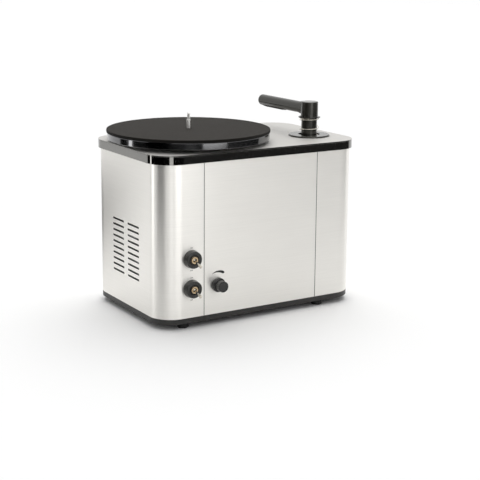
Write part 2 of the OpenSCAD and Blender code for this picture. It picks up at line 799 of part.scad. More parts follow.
coil_gap = min([for (i = [0 : coil_last - curl_rings], k = [curl_rings / 2 : coil_last - i])
    norm(coil_mid[i + k] - coil_mid[i])]) - spring_wire;
echo(least_gap_of_the_lift_spring_to_itself = coil_gap);

module lift_spring() color("#c8c8c8") at_tower(seat_z) polyhedron(coil_ring_points, coil_faces);

module spring_washer() color("#1c1c1c") at_tower(deck_z + washer_z) ring(washer_d, tube_d + 2 * run_gap, washer_t);

// Parts that turn with the arm are drawn with the tube's axis as their own
clip_z = washer_z + washer_t + fit_gap;
cap_low = clip_z + clip_t;
cap_top = cap_low + cap_h;
arm_axis_h = cap_low + arm_rise;
clip_bite = 0.8;
clip_rim = 2.5;
clip_d = tube_d + 2 * clip_rim;
spigot_h = 6;
cap_wall = 3;
stop_gap = 0.4;
stop_t = 2.4;
stop_d = 34;
clip_backing = 1.5;

module clip_ring() color("#101010") at_tower(deck_z + clip_z) difference() {
    ring(clip_d, tube_d - 2 * clip_bite, clip_t);
    translate([0, -clip_d, -1]) rotate(45) cube([clip_d, clip_d, clip_t + 2]);
}

module suction_tube() color("#181818") at_tower(deck_z) difference() {
    union() {
        translate([0, 0, -tube_low]) cylinder(d = tube_d, h = cap_low + tube_low);
        translate([0, 0, cap_low]) cylinder(d = cap_d - 2 * cap_wall, h = spigot_h);
    }
    translate([0, 0, -tube_low - 1]) cylinder(d = tube_d - 2 * (tube_wall + clip_backing), h = tube_low + cap_top);
    translate([0, 0, clip_z - fit_gap / 2]) ring(cap_d, tube_d - 2 * clip_bite, clip_t + fit_gap / 2);
    translate([0, 0, -guide_shoulder - stop_gap - stop_t]) ring(stop_d, tube_d - 2 * clip_bite, stop_t);
}

module stop_ring() color("#8a8a8a") at_tower(deck_z - guide_shoulder - stop_gap - stop_t)
    ring(stop_d, tube_d - 2 * clip_bite, stop_t);

arm_bore = arm_d - 2 * arm_wall;
cap_screw_d = 3;
cap_screw_z = 4;
cap_screw_turn = 245;
cap_screw_sunk = 0.4;
cap_screw_hex = 1.6;

module along_arm(y) {
    at_tower(deck_z + arm_axis_h) translate([0, y, 0]) rotate([-90, 0, 0]) children();
}

arm_seat = cap_d / 2 - cap_wall;

module elbow_cap() color("#191919") difference() {
    union() {
        at_tower(deck_z + cap_low) cylinder(d = cap_d, h = cap_h - edge);
        at_tower(deck_z + cap_top - edge) cylinder(d1 = cap_d, d2 = cap_d - 2 * edge, h = edge);
        along_arm(0) cylinder(d = collar_d, h = collar_reach);
    }
    at_tower(deck_z + cap_low - 1) cylinder(d = cap_d - 2 * cap_wall, h = cap_h - cap_wall + 1);
    along_arm(0) cylinder(d = arm_bore, h = collar_reach + 1);
    along_arm(arm_seat) cylinder(d = arm_d, h = collar_reach);
    at_tower(deck_z + cap_low + cap_screw_z) rotate(cap_screw_turn) rotate([0, 90, 0])
        cylinder(d = cap_screw_d, h = cap_d);
}

module elbow_screw() color("#0c0c0c") at_tower(deck_z + cap_low + cap_screw_z) rotate(cap_screw_turn)
    translate([cap_d / 2 - cap_wall, 0, 0]) rotate([0, 90, 0]) difference() {
        cylinder(d = cap_screw_d, h = cap_wall - cap_screw_sunk);
        translate([0, 0, cap_wall / 2]) cylinder(d = cap_screw_hex, h = cap_wall, $fn = 6);
    }

plug_lip = 6;
slot_end = arm_reach - plug_t - plug_lip - edge;

module arm_tube() color("#1a1a1a") difference() {
    along_arm(arm_seat) ring(arm_d, arm_bore, arm_reach - plug_t - arm_seat);
    at_tower(deck_z + arm_axis_h - arm_d) translate([-slot_w / 2, slot_end - slot_l, 0])
        cube([slot_w, slot_l, arm_d]);
}

plug_round = 2;
plug_round_mid = 0.6;

module arm_end_plug() color("#141414") {
    along_arm(arm_reach - plug_t) rotate_extrude() polygon([
        [0, 0], [arm_d / 2, 0], [arm_d / 2, plug_t - plug_round],
        [arm_d / 2 - plug_round_mid, plug_t - plug_round_mid], [arm_d / 2 - plug_round, plug_t], [0, plug_t]]);
    along_arm(arm_reach - plug_t - plug_lip) cylinder(d = arm_bore, h = plug_lip + 1);
}

pad_sweep = 32;
pad_ends = 3;

pad_gap = 0.5;

// Angle on the arm from the middle of the slot to the edge of a pad
pad_edge = degrees_along(arm_d / 2, slot_w / 2 + pad_gap);

// Two velvet strips wrapped on the underside of the arm, one each side of the slot
module suction_pads() color("#2d2a2a") for (turn = [90 + pad_edge, 90 - pad_sweep])
    along_arm(slot_end - slot_l - pad_ends) rotate(turn) rotate_extrude(angle = pad_sweep - pad_edge)
        translate([arm_d / 2, 0]) square([pad_t, slot_l + 2 * pad_ends]);

// Waste tank and hoses

lid_z = floor_z + tank_h;
lid_top = lid_z + lid_t;
tank_r = 8;
lid_lip = 6;
outlet_shift = 8;
outlet_x = tank_x + outlet_shift;
hose_end_gap = 0.3;
tank_stub = 8;

module at_tank(z) {
    in_cabinet() translate([tank_x, tank_y, z]) children();
}

module at_outlet(z) {
    in_cabinet() translate([outlet_x, blower_y, z]) children();
}

module waste_tank() color("#d9d9cf") difference() {
    union() {
        at_tank(floor_z) rounded_slab(tank_w, tank_l, tank_r, tank_h);
        in_cabinet() translate([drain_x, tank_y + tank_l / 2 - 1, drain_z])
            rotate([-90, 0, 0]) cylinder(d = drain_bore_d, h = tank_stub + 1);
    }
    at_tank(floor_z + tank_wall)
        rounded_slab(tank_w - 2 * tank_wall, tank_l - 2 * tank_wall, tank_r - tank_wall, tank_h);
    in_cabinet() translate([drain_x, tank_y + tank_l / 2 - 2 * tank_wall, drain_z])
        rotate([-90, 0, 0]) cylinder(d = drain_bore_d - 2 * drain_wall, h = tank_stub + 3 * tank_wall);
}

module tank_lid() color("#c9c9bf") difference() {
    union() {
        at_tank(lid_z) rounded_slab(tank_w, tank_l, tank_r, lid_t);
        at_tank(lid_z - lid_lip) rounded_slab(tank_w - 2 * (tank_wall + fit_gap),
            tank_l - 2 * (tank_wall + fit_gap), tank_r - tank_wall, lid_lip + 1);
        at_tower(lid_z) cylinder(d = nozzle_d, h = lid_t + nozzle_l);
        at_outlet(lid_z) cylinder(d = nozzle_d, h = lid_t + nozzle_l);
    }
    at_tank(lid_z - lid_lip - 1)
        rounded_slab(tank_w - 6 * tank_wall, tank_l - 6 * tank_wall, tank_r / 2, lid_lip + 1);
    at_tower(lid_z - 1) cylinder(d = nozzle_d - 2 * nozzle_wall, h = lid_t + nozzle_l + 2);
    at_outlet(lid_z - 1) cylinder(d = nozzle_d - 2 * nozzle_wall, h = lid_t + nozzle_l + 2);
}

module suction_hose() color("#2f2f2f") at_tower(lid_top + hose_end_gap)
    ring(hose_d, nozzle_d, chamber_z - guide_wall_t - lid_top - 2 * hose_end_gap);

mount_z = floor_z;
can_z = mount_z + mount_t;
fan_z = can_z + can_h;
fan_top = fan_z + fan_h;
run_z = slab_z - hose_drop;

module hose_leg(z) {
    translate([0, 0, z]) ring(hose_d, nozzle_d, run_z - hose_bend - z);
}

module hose_corner() {
    rotate([90, 0, 0]) rotate_extrude(angle = 90) translate([hose_bend, 0]) difference() {
        circle(d = hose_d);
        circle(d = nozzle_d);
    }
}

module vacuum_hose() color("#2f2f2f") {
    at_blower(0) hose_leg(fan_top + hose_end_gap);
    at_outlet(0) hose_leg(lid_top + hose_end_gap);
    at_blower(run_z - hose_bend) translate([hose_bend, 0, 0]) mirror([1, 0, 0]) hose_corner();
    at_outlet(run_z - hose_bend) translate([-hose_bend, 0, 0]) hose_corner();
    at_blower(run_z) translate([hose_bend, 0, 0]) rotate([0, 90, 0])
        ring(hose_d, nozzle_d, outlet_x - blower_x - 2 * hose_bend);
}

// Drain

drain_wall = 2;
drain_bore_d = drain_d - 2 * drain_wall;
drain_hose_y = tank_y + tank_l / 2 + hose_end_gap;
valve_neck = 12;
valve_body_d = 20;
valve_tail_l = 14;
valve_body_l = drain_reach - valve_tail_l;
cock_d = 9;
cock_y = rear + valve_body_l / 2;
cock_top = 14;
cock_wall = 3;
cock_cap_rim = 2.5;
cock_bore_d = drain_bore_d - 5;
lever_arm_l = 26;
lever_arm_t = 3;

module drain_hose() color("#b9c4b4") in_cabinet() translate([drain_x, drain_hose_y, drain_z]) rotate([-90, 0, 0])
    ring(drain_d, drain_bore_d, rear - valve_neck - drain_hose_y);

module at_valve(y) {
    in_cabinet() translate([drain_x, y, drain_z]) rotate([-90, 0, 0]) children();
}

module drain_valve() color("#222222") difference() {
    union() {
        at_valve(rear - valve_neck + fit_gap) cylinder(d = drain_neck_d, h = valve_neck);
        at_valve(rear - valve_neck - tank_stub) cylinder(d = drain_bore_d, h = valve_neck);
        at_valve(rear) cylinder(d = valve_body_d, h = valve_body_l);
        at_valve(rear + valve_body_l - 1) cylinder(d = drain_bore_d, h = drain_reach - valve_body_l + 1);
        in_cabinet() translate([drain_x, cock_y, drain_z]) cylinder(d = cock_d + 2 * cock_wall, h = cock_top);
    }
    at_valve(rear - valve_neck - tank_stub - 1)
        cylinder(d = drain_bore_d - 2 * drain_wall, h = valve_neck + tank_stub + drain_reach + 2);
    in_cabinet() translate([drain_x, cock_y, drain_z - cock_d / 2 - 1])
        cylinder(d = cock_d + 2 * run_gap, h = 2 * cock_top);
}

module drain_lever() color("#8a1f1f") difference() {
    in_cabinet() translate([drain_x, cock_y, drain_z]) {
        translate([0, 0, -cock_d / 2]) cylinder(d = cock_d, h = cock_top + cock_d / 2 + 1);
        translate([0, 0, cock_top + seat_gap]) {
            cylinder(d = cock_d + 2 * cock_cap_rim, h = lever_arm_t);
            translate([-lever_arm_l, -cock_d / 2, 0]) cube([lever_arm_l, cock_d, lever_arm_t]);
            translate([-lever_arm_l, 0, 0]) cylinder(d = cock_d, h = lever_arm_t);
        }
    }
    in_cabinet() translate([drain_x - cock_d, cock_y, drain_z]) rotate([0, 90, 0])
        cylinder(d = cock_bore_d, h = 2 * cock_d);
}

// Vacuum motor

can_wall = 2;
fan_wall = 2;
rotor_shaft_d = 8;
bearing_boss_d = 22;
bearing_boss_h = 8;
core_side_room = 18;
core_end_room = 17;
core_d = can_d - 2 * core_side_room;
core_h = can_h - 2 * core_end_room;
pole_w = 22;
pole_gap = 5;
pole_end = 8;
mount_rim = 5;
mount_lip = 6;
impeller_side_room = 7;
impeller_under_room = 8;
impeller_over_room = 12;
impeller_d = fan_d - 2 * impeller_side_room;
impeller_h = fan_h - impeller_under_room - impeller_over_room;
impeller_disc_t = 2;
impeller_hub_wall = 5;
impeller_hub_short = 4;
blade_t = 2;
blade_lean = 12;
blade_root = 4;
blade_short = 6;
horn_d = 34;
horn_tuck = 2;
horn_end_room = 8;
horn_y = -(fan_d - horn_d) / 2 + horn_tuck;
horn_l = blower_from_left - shell_t - horn_end_room;
vent_mouth = 16;

module motor_mount() color("#1d1d1d") at_blower(mount_z) difference() {
    cylinder(d = can_d + 2 * mount_rim, h = mount_t + mount_lip);
    translate([0, 0, mount_t]) cylinder(d = can_d, h = mount_lip + 1);
    translate([0, 0, -1]) cylinder(d = can_d / 2, h = mount_t + mount_lip + 2);
}

module vacuum_motor() color("#8f9296") at_blower(can_z) difference() {
    cylinder(d = can_d, h = can_h);
    translate([0, 0, can_wall]) difference() {
        cylinder(d = can_d - 2 * can_wall, h = can_h - 2 * can_wall);
        cylinder(d = bearing_boss_d, h = bearing_boss_h);
        translate([0, 0, can_h - 2 * can_wall - bearing_boss_h]) cylinder(d = bearing_boss_d, h = bearing_boss_h);
        for (turn = [0 : 90 : 270]) rotate(turn)
            translate([core_d / 2 + pole_gap, -pole_w / 2, pole_end])
                cube([can_d, pole_w, can_h - 2 * can_wall - 2 * pole_end]);
    }
    translate([0, 0, can_wall]) cylinder(d = rotor_shaft_d + 2 * run_gap, h = can_h);
    for (turn = [45 : 90 : 315]) rotate(turn) translate([can_d / 2 - 4 * can_wall, 0, can_h / 2])
        rotate([0, 90, 0]) cylinder(d = vent_mouth, h = 8 * can_wall);
}

module fan_housing() color("#7d8083") at_blower(fan_z) difference() {
    union() {
        cylinder(d = fan_d, h = fan_h);
        translate([0, horn_y, fan_h / 2]) rotate([0, -90, 0]) cylinder(d = horn_d, h = horn_l);
        translate([0, 0, fan_h - 1]) cylinder(d = nozzle_d, h = nozzle_l + 1);
    }
    translate([0, 0, fan_wall]) cylinder(d = fan_d - 2 * fan_wall, h = fan_h - 2 * fan_wall);
    translate([0, horn_y, fan_h / 2]) rotate([0, -90, 0]) cylinder(d = horn_d - 2 * fan_wall, h = horn_l + 1);
    translate([0, 0, fan_h - 2 * fan_wall]) cylinder(d = nozzle_d - 2 * nozzle_wall, h = nozzle_l + 3 * fan_wall);
    translate([0, 0, -1]) cylinder(d = rotor_shaft_d + 2 * run_gap, h = 2 * fan_wall);
}

shaft_top_z = fan_z + fan_h - impeller_over_room;

module armature() color("#a87b45") at_blower(0) {
    translate([0, 0, can_z + can_wall + edge])
        cylinder(d = rotor_shaft_d, h = shaft_top_z - can_z - can_wall - edge);
    translate([0, 0, can_z + (can_h - core_h) / 2]) cylinder(d = core_d, h = core_h);
}

module impeller() color("#c3c6c8") at_blower(fan_z + impeller_under_room) difference() {
    union() {
        cylinder(d = impeller_d, h = impeller_disc_t);
        cylinder(d = rotor_shaft_d + 2 * impeller_hub_wall, h = impeller_h - impeller_hub_short);
        for (i = [0 : blades - 1]) rotate(i * 360 / blades)
            translate([rotor_shaft_d / 2 + blade_root, -blade_t / 2, 0]) rotate(blade_lean)
                cube([impeller_d / 2 - rotor_shaft_d - blade_root, blade_t, impeller_h - blade_short]);
    }
    translate([0, 0, -1]) cylinder(d = rotor_shaft_d, h = impeller_h + 2);
}

// Electrics

inlet_flange_w = 50;
inlet_flange_h = 23;
inlet_flange_t = 3;
inlet_deep = 18;
inlet_wall = 2;
inlet_side_wall = 1.5;
inlet_screw_d = 3.2;
inlet_screw_x = 20;
pin_w = 2;
pin_h = 4.5;
pin_pitch = 7;

module inlet_pins() {
    for (column = [-1, 0, 1])
        translate([column * pin_pitch - pin_w / 2, -inlet_deep, column == 0 ? inlet_wall : -inlet_wall])
            cube([pin_w, inlet_deep - inlet_wall, pin_h]);
}

module power_inlet() color("#151515") in_cabinet() translate([inlet_x, rear, inlet_z]) difference() {
    union() {
        translate([-inlet_flange_w / 2, 0, -inlet_flange_h / 2])
            cube([inlet_flange_w, inlet_flange_t, inlet_flange_h]);
        translate([-inlet_w / 2, -inlet_deep, -inlet_h / 2]) cube([inlet_w, inlet_deep + 1, inlet_h]);
    }
    difference() {
        translate([-inlet_w / 2 + inlet_side_wall, -inlet_deep + inlet_wall, -inlet_h / 2 + inlet_wall])
            cube([inlet_w - 2 * inlet_side_wall, inlet_deep + inlet_flange_t, inlet_h - 2 * inlet_wall]);
        inlet_pins();
    }
    for (side = [-1, 1]) translate([side * inlet_screw_x, -1, 0]) rotate([-90, 0, 0])
        cylinder(d = inlet_screw_d, h = inlet_flange_t + 2);
}

supply_w = 108;
supply_d = 58;
supply_h = 36;
supply_ear_w = 10;
supply_ear_t = 2;
supply_ear_tuck = 1;
supply_tank_room = 7;
supply_reach = supply_w / 2 + supply_ear_w - supply_ear_tuck;
supply_x = tank_x - tank_w / 2 - supply_tank_room - supply_reach;
supply_from_front = 26.5;
supply_y = front + supply_from_front + supply_d / 2;

module power_supply() color("#b4b7b9") in_cabinet() translate([supply_x, supply_y, floor_z]) {
    translate([-supply_w / 2, -supply_d / 2, 0]) cube([supply_w, supply_d, supply_h]);
    for (side = [-1, 1]) translate([side * (supply_reach - supply_ear_w / 2) - supply_ear_w / 2, -supply_d / 2, 0])
        cube([supply_ear_w, supply_d, supply_ear_t]);
}

board_w = 96;
board_d = 70;
board_t = 1.6;
board_stand = 8;
board_post_d = 6;
board_post_inset = 5;
board_shift = 7.5;
board_x = (blower_x + tank_x) / 2 + board_shift;
board_behind_supply = 40;
board_y = supply_y + supply_d / 2 + board_behind_supply + board_d / 2;
relay = [22, 16, 20];
relay_place = [-30, -20];
coil_block = [28, 22, 18];
coil_block_place = [4, -22];
capacitor_d = 11;
capacitor_h = 22;
capacitor_pitch = 17;
capacitor_place = [-25, 18];

module control_board() color("#2e6b42") in_cabinet() translate([board_x, board_y, floor_z]) {
    for (x = [-1, 1], y = [-1, 1])
        translate([x * (board_w / 2 - board_post_inset), y * (board_d / 2 - board_post_inset), 0])
            cylinder(d = board_post_d, h = board_stand);
    translate([-board_w / 2, -board_d / 2, board_stand]) cube([board_w, board_d, board_t]);
    translate([0, 0, board_stand + board_t]) {
        translate(relay_place) cube(relay);
        translate(coil_block_place) cube(coil_block);
        for (i = [0 : 2]) translate(capacitor_place + [i * capacitor_pitch, 0])
            cylinder(d = capacitor_d, h = capacitor_h);
    }
}

// Controls

body_w = 16;
body_h = 28;
body_deep = 17;
bushing_stand = 0.5;
bushing_reach = bezel_t + bushing_stand;
nut_t = 2.6;
nut_d = 15.6;
dish_deep = 4.4;

module switch_shape() {
    difference() {
        union() {
            translate([-body_w / 2, -body_h / 2, -shell_t - body_deep]) cube([body_w, body_h, body_deep]);
            translate([0, 0, -shell_t - 1]) cylinder(d = bushing_d, h = shell_t + 1 + bushing_reach);
            translate([0, 0, bezel_t - dish_deep]) cylinder(d = nut_d, h = nut_t, $fn = 6);
        }
        cylinder(d = bushing_bore, h = bushing_reach + 1);
    }
}

module switch_bodies() color("#c9b184") {
    on_front(switch_x, lower_switch_z) switch_shape();
    on_front(switch_x, upper_switch_z) switch_shape();
}

bezel_taper = 1.2;
bezel_foot = 2;
bezel_round = 1.2;
bezel_rim = 3;
bezel_step = 0.9;
bezel_step_slope = 0.6;
dish_gap = 0.6;
bezel_front_r = bezel_d / 2 - bezel_taper;

module bezel_shape() {
    rotate_extrude() polygon([
        [bushing_d / 2 + fit_gap, 0], [bezel_d / 2, 0], [bezel_d / 2, bezel_foot],
        [bezel_front_r, bezel_t - bezel_round], [bezel_front_r - bezel_round, bezel_t],
        [bezel_front_r - bezel_rim, bezel_t], [bezel_front_r - bezel_rim - bezel_step_slope, bezel_t - bezel_step],
        [nut_d / 2 + dish_gap + edge, bezel_t - bezel_step], [nut_d / 2 + dish_gap, bezel_t - bezel_step - edge],
        [nut_d / 2 + dish_gap, bezel_t - dish_deep], [bushing_d / 2 + fit_gap, bezel_t - dish_deep]]);
}

module switch_bezels() color("#1a1a1a") {
    on_front(switch_x, lower_switch_z) bezel_shape();
    on_front(switch_x, upper_switch_z) bezel_shape();
}

lever_root_r = 1.4;
lever_ball_d = bushing_bore - seat_gap;
lever_tail = 5;

module lever_shape() {
    translate([0, 0, lever_pivot]) rotate([lever_tilt, 0, 0]) {
        sphere(d = lever_ball_d);
        cylinder(r1 = lever_root_r, r2 = lever_tip_r, h = lever_l);
        translate([0, 0, lever_l]) sphere(r = lever_tip_r);
        translate([0, 0, -lever_tail]) cylinder(r = lever_root_r, h = lever_tail);
    }
}

module upper_lever() color("#d0cbc0") on_front(switch_x, upper_switch_z) lever_shape();

module lower_lever() color("#d0cbc0") on_front(switch_x, lower_switch_z) lever_shape();

pot_d = 20;
pot_deep = 11;
pot_bushing_reach = 5;
pot_shaft_d = 6;
pot_nut_t = 2;
pot_nut_d = 12;
pot_shaft_short = 4;
knob_gap = 0.8;
skirt_t = 5;
knob_cavity_d = 15;
knob_cavity = 5.4;

module speed_control() color("#8f8f8f") on_front(knob_x, lower_switch_z) difference() {
    union() {
        translate([0, 0, -shell_t - pot_deep]) cylinder(d = pot_d, h = pot_deep);
        translate([0, 0, -shell_t - 1]) cylinder(d = pot_bushing_d, h = shell_t + 1 + pot_bushing_reach);
        cylinder(d = pot_nut_d, h = pot_nut_t, $fn = 6);
    }
    translate([0, 0, -shell_t - pot_deep / 2])
        cylinder(d = pot_shaft_d + 2 * run_gap, h = pot_deep + pot_bushing_reach);
}

module control_knob() color("#151515") on_front(knob_x, lower_switch_z) {
    difference() {
        union() {
            translate([0, 0, knob_gap]) cylinder(d = knob_skirt_d, h = skirt_t - edge);
            translate([0, 0, knob_gap + skirt_t - edge])
                cylinder(d1 = knob_skirt_d, d2 = knob_skirt_d - 2 * edge, h = edge);
            translate([0, 0, knob_gap]) cylinder(d = knob_grip_d, h = knob_reach - knob_gap - edge);
            translate([0, 0, knob_reach - edge])
                cylinder(d1 = knob_grip_d, d2 = knob_grip_d - 2 * edge, h = edge);
        }
        translate([0, 0, -1]) cylinder(d = knob_cavity_d, h = knob_gap + knob_cavity + 1);
    }
    translate([0, 0, -shell_t - pot_deep / 2 + seat_gap])
        cylinder(d = pot_shaft_d, h = shell_t + pot_deep / 2 + knob_reach - pot_shaft_short);
}

base_plate();
feet();
left_shell();
right_shell();
front_panel();
rear_panel();
corner_posts();
seam_strips();
deck_slab();
top_plate();
frame_screws();
panel_screws();
bearing_housing();
bearing_bushes();
drive_plate();
drive_spacers();
drive_motor();
drive_screws();
drive_pinion();
platter_gear();
spindle();
drive_hub();
hub_screws();
platter();
platter_mat();
arm_flange();
guide_tube();
guide_screws();
guide_seals();
lift_spring();
spring_washer();
suction_tube();
stop_ring();
clip_ring();
elbow_cap();
elbow_screw();
arm_tube();
arm_end_plug();
suction_pads();
suction_hose();
waste_tank();
tank_lid();
vacuum_hose();
drain_hose();
drain_valve();
drain_lever();
motor_mount();
vacuum_motor();
fan_housing();
impeller();
armature();
power_inlet();
power_supply();
control_board();
switch_bodies();
switch_bezels();
upper_lever();
lower_lever();
speed_control();
control_knob();
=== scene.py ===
# %% [markdown]
# # A record cleaning machine
# The machine is a brushed metal cabinet with a gloss black deck, a driven platter with a
# mat, a sprung suction arm, two toggle switches and a speed knob. Its sizes come from a
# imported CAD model, which is loaded first and stays where it is. This script gives it its
# looks: finishes made of shader nodes, rounded edges, and new pieces where the CAD model
# is plain, such as the coil of the lift spring or the thread of the spindle.

# %% Load the CAD model
import json
import math
import bpy
import bmesh
from mathutils import Euler, Matrix, Vector


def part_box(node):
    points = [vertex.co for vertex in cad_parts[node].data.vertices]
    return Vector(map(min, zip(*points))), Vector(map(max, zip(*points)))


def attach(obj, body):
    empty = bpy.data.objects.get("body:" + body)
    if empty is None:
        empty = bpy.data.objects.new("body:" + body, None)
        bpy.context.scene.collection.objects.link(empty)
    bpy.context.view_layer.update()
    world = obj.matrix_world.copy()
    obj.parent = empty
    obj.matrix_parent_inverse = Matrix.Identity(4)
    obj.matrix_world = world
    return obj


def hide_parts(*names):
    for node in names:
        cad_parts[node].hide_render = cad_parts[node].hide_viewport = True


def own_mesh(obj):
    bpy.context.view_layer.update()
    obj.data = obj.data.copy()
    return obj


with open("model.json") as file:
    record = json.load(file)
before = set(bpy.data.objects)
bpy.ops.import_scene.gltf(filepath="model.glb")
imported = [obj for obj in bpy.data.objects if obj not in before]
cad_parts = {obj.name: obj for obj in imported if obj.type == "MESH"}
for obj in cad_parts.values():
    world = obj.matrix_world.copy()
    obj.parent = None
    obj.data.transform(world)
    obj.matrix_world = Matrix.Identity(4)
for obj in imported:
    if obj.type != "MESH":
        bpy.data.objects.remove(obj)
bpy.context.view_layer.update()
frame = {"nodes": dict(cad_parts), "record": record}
MM = 0.001


def low(node):
    """The lowest corner of a CAD node, in millimetres."""
    return Vector(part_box(node)[0]) / MM


def high(node):
    """The highest corner of a CAD node, in millimetres."""
    return Vector(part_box(node)[1]) / MM


def middle(node):
    """The middle of a CAD node's box, in millimetres."""
    return (low(node) + high(node)) / 2


# %% [markdown]
# ## Camera
# The photograph looks down on the machine from the front left. Its distance, its angles
# and its focal length were worked out from straight edges and circles of known size. A
# small upward shift of the view keeps the upright edges nearly parallel, as they are in
# the photograph, and is small enough for every other view.

# %% Camera
# The frame's width, the focal length and the row of the optical axis are in pixels.
PHOTO = 480
focal = 1203.1
optical_row = 192
eye = Vector((-1119.4, -1873.4, 640.2)) * MM
pan, tilt, roll = -0.554, 0.197, 0.008

camera = bpy.data.objects.new("camera", bpy.data.cameras.new("camera"))
bpy.context.scene.collection.objects.link(camera)
camera.data.sensor_width = 36
camera.data.lens = focal / PHOTO * camera.data.sensor_width
camera.data.shift_y = (optical_row - PHOTO / 2) / PHOTO
camera.data.clip_start = 0.05
camera.data.clip_end = 50
camera.location = eye
turn = (Matrix.Rotation(pan, 3, "Z") @ Matrix.Rotation(math.pi / 2 - tilt, 3, "X")
        @ Matrix.Rotation(roll, 3, "Z"))
camera.rotation_euler = turn.to_euler()
bpy.context.scene.camera = camera
bpy.context.scene.view_settings.view_transform = "Standard"
print("lens", round(camera.data.lens, 1), "mm, shift", round(camera.data.shift_y, 3))

# %% [markdown]
# ## Shader maths
# Procedural finishes are sums and products of noise. The class Value wraps a shader socket
# so that such sums are written as plain Python: each operation adds its Math node. Colours
# are mixed with a Mix node instead, because a Math node would turn them grey. The class
# Tree adds any other node. The world and the finishes use the same two classes.

# %% Shader helpers
class Value:
    """A shader socket that takes part in Python sums."""

    def __init__(self, tree, socket):
        self.tree = tree
        self.socket = socket

    def maths(self, operation, first, second):
        """Adds a Math node and returns what comes out of it."""
        return self.tree.node("ShaderNodeMath", {"operation": operation}, {0: first, 1: second})

    def __add__(self, other):
        return self.maths("ADD", self, other)

    def __radd__(self, other):
        return self.maths("ADD", other, self)

    def __sub__(self, other):
        return self.maths("SUBTRACT", self, other)

    def __rsub__(self, other):
        return self.maths("SUBTRACT", other, self)

    def __mul__(self, other):
        return self.maths("MULTIPLY", self, other)

    def __rmul__(self, other):
        return self.maths("MULTIPLY", other, self)

    def larger(self, other):
        """The larger of two values."""
        return self.maths("MAXIMUM", self, other)

    def above(self, limit, softness):
        """0 below a limit and 1 above it, with a soft edge."""
        return self.tree.node(
            "ShaderNodeMapRange", {"interpolation_type": "SMOOTHSTEP"},
            {"Value": self, "From Min": limit - softness, "From Max": limit + softness})


class Tree:
    """The shader nodes of a world or a material."""

    def __init__(self, owner):
        owner.use_nodes = True
        self.nodes = owner.node_tree.nodes
        self.links = owner.node_tree.links

    def node(self, kind, settings={}, sockets={}, output=0):
        """Adds a node. Its settings come first, then the values or links of its sockets."""
        made = self.nodes.new(kind)
        for name, value in settings.items():
            setattr(made, name, value)
        for name, value in sockets.items():
            self.feed(made.inputs[name], value)
        return Value(self, made.outputs[output])

    def feed(self, socket, value):
        """Links a value to a socket, or writes a plain number or colour into it."""
        if isinstance(value, Value):
            self.links.new(value.socket, socket)
        else:
            socket.default_value = value


# %% [markdown]
# ## Light
# The photograph was taken on a white table in plain, soft light. Here an even sky gives
# about half of the light and a very wide sun, high and a little behind, gives most of the
# rest. A weak one from the front fills the shadows. Together they render a colour about as
# it is written. Camera rays and reflections see the white background in full, but it
# lights the surfaces at about half of that.
#
# Gloss black and brushed metal show what stands round them. Three upright lamps stand left
# and in front, as in a studio, and only reflections see them. They give the black deck and
# the platter their pale patches and the cabinet's rounded corner its two pale bands.

# %% World and lamps
SKY = 0.52
studio = bpy.data.worlds.new("studio")
bpy.context.scene.world = studio
sky = Tree(studio)
camera_ray, glossy_ray, glass_ray = (
    sky.node("ShaderNodeLightPath", output=name)
    for name in ("Is Camera Ray", "Is Glossy Ray", "Is Transmission Ray"))
seen = camera_ray.larger(glossy_ray).larger(glass_ray)
sky.feed(sky.nodes["Background"].inputs["Strength"], seen * (1 - SKY) + SKY)
sky.feed(sky.nodes["Background"].inputs["Color"], (1, 1, 1, 1))


def lamp(name, kind, **settings):
    """A lamp that the camera doesn't see."""
    made = bpy.data.objects.new(name, bpy.data.lights.new(name, kind))
    bpy.context.scene.collection.objects.link(made)
    for setting, value in settings.items():
        setattr(made.data, setting, value)
    made.visible_camera = False
    return made


sun = lamp("sun", "SUN", energy=1.55, angle=math.radians(62))
sun.rotation_euler = Euler((math.radians(-20), math.radians(14), 0))
fill = lamp("fill", "SUN", energy=0.2, angle=math.radians(60))
fill.rotation_euler = Euler((math.radians(42), 0, math.radians(-31)))


def strip_lamp(name, azimuth, distance, width, low_edge, height, radiance):
    """An upright lamp that only reflections see, facing the machine."""
    made = lamp(name, "AREA", shape="RECTANGLE", size=width, size_y=height,
                energy=radiance * math.pi * width * height)
    direction = Vector((math.cos(math.radians(azimuth)), math.sin(math.radians(azimuth)), 0))
    made.location = direction * distance + Vector((0, 0, low_edge + height / 2))
    made.rotation_euler = (-direction).to_track_quat("-Z", "Y").to_euler()
    made.visible_diffuse = False
    return made


# Name, azimuth in degrees, distance, width, lower edge and height in metres, radiance.
strip_lamp("left_lamp", 159, 1.25, 0.12, 0, 0.5, 4)
strip_lamp("deck_lamp", 241, 1.25, 0.3, 0, 0.15, 1.8)
strip_lamp("platter_lamp", 273, 1.25, 0.75, 0.185, 0.45, 2.2)

# %% [markdown]
# ## Finishes
# Each finish has the marks of how it is made. Brushed sheet carries long, fine scratches in
# one direction, which also stretch its reflections across them. Gloss black has fine wipe
# marks and a little dust. Anodised and moulded parts have a fine, even grain. Felt and
# velvet are speckled fibres. The patterns read Object coordinates, which are the machine's
# own metres, so their sizes below are true millimetres.

# %% Base of every finish
def light_of(tone):
    """The linear value of a tone from 0 to 255, as a screen shows it."""
    share = tone / 255
    return share / 12.92 if share <= 0.04045 else ((share + 0.055) / 1.055) ** 2.4


def colour(red, green, blue):
    """A colour from its three tones on a screen."""
    return (light_of(red), light_of(green), light_of(blue), 1)


def shade(tone, factor):
    """A colour made darker or lighter."""
    return tuple(channel * factor for channel in tone[:3]) + (1,)


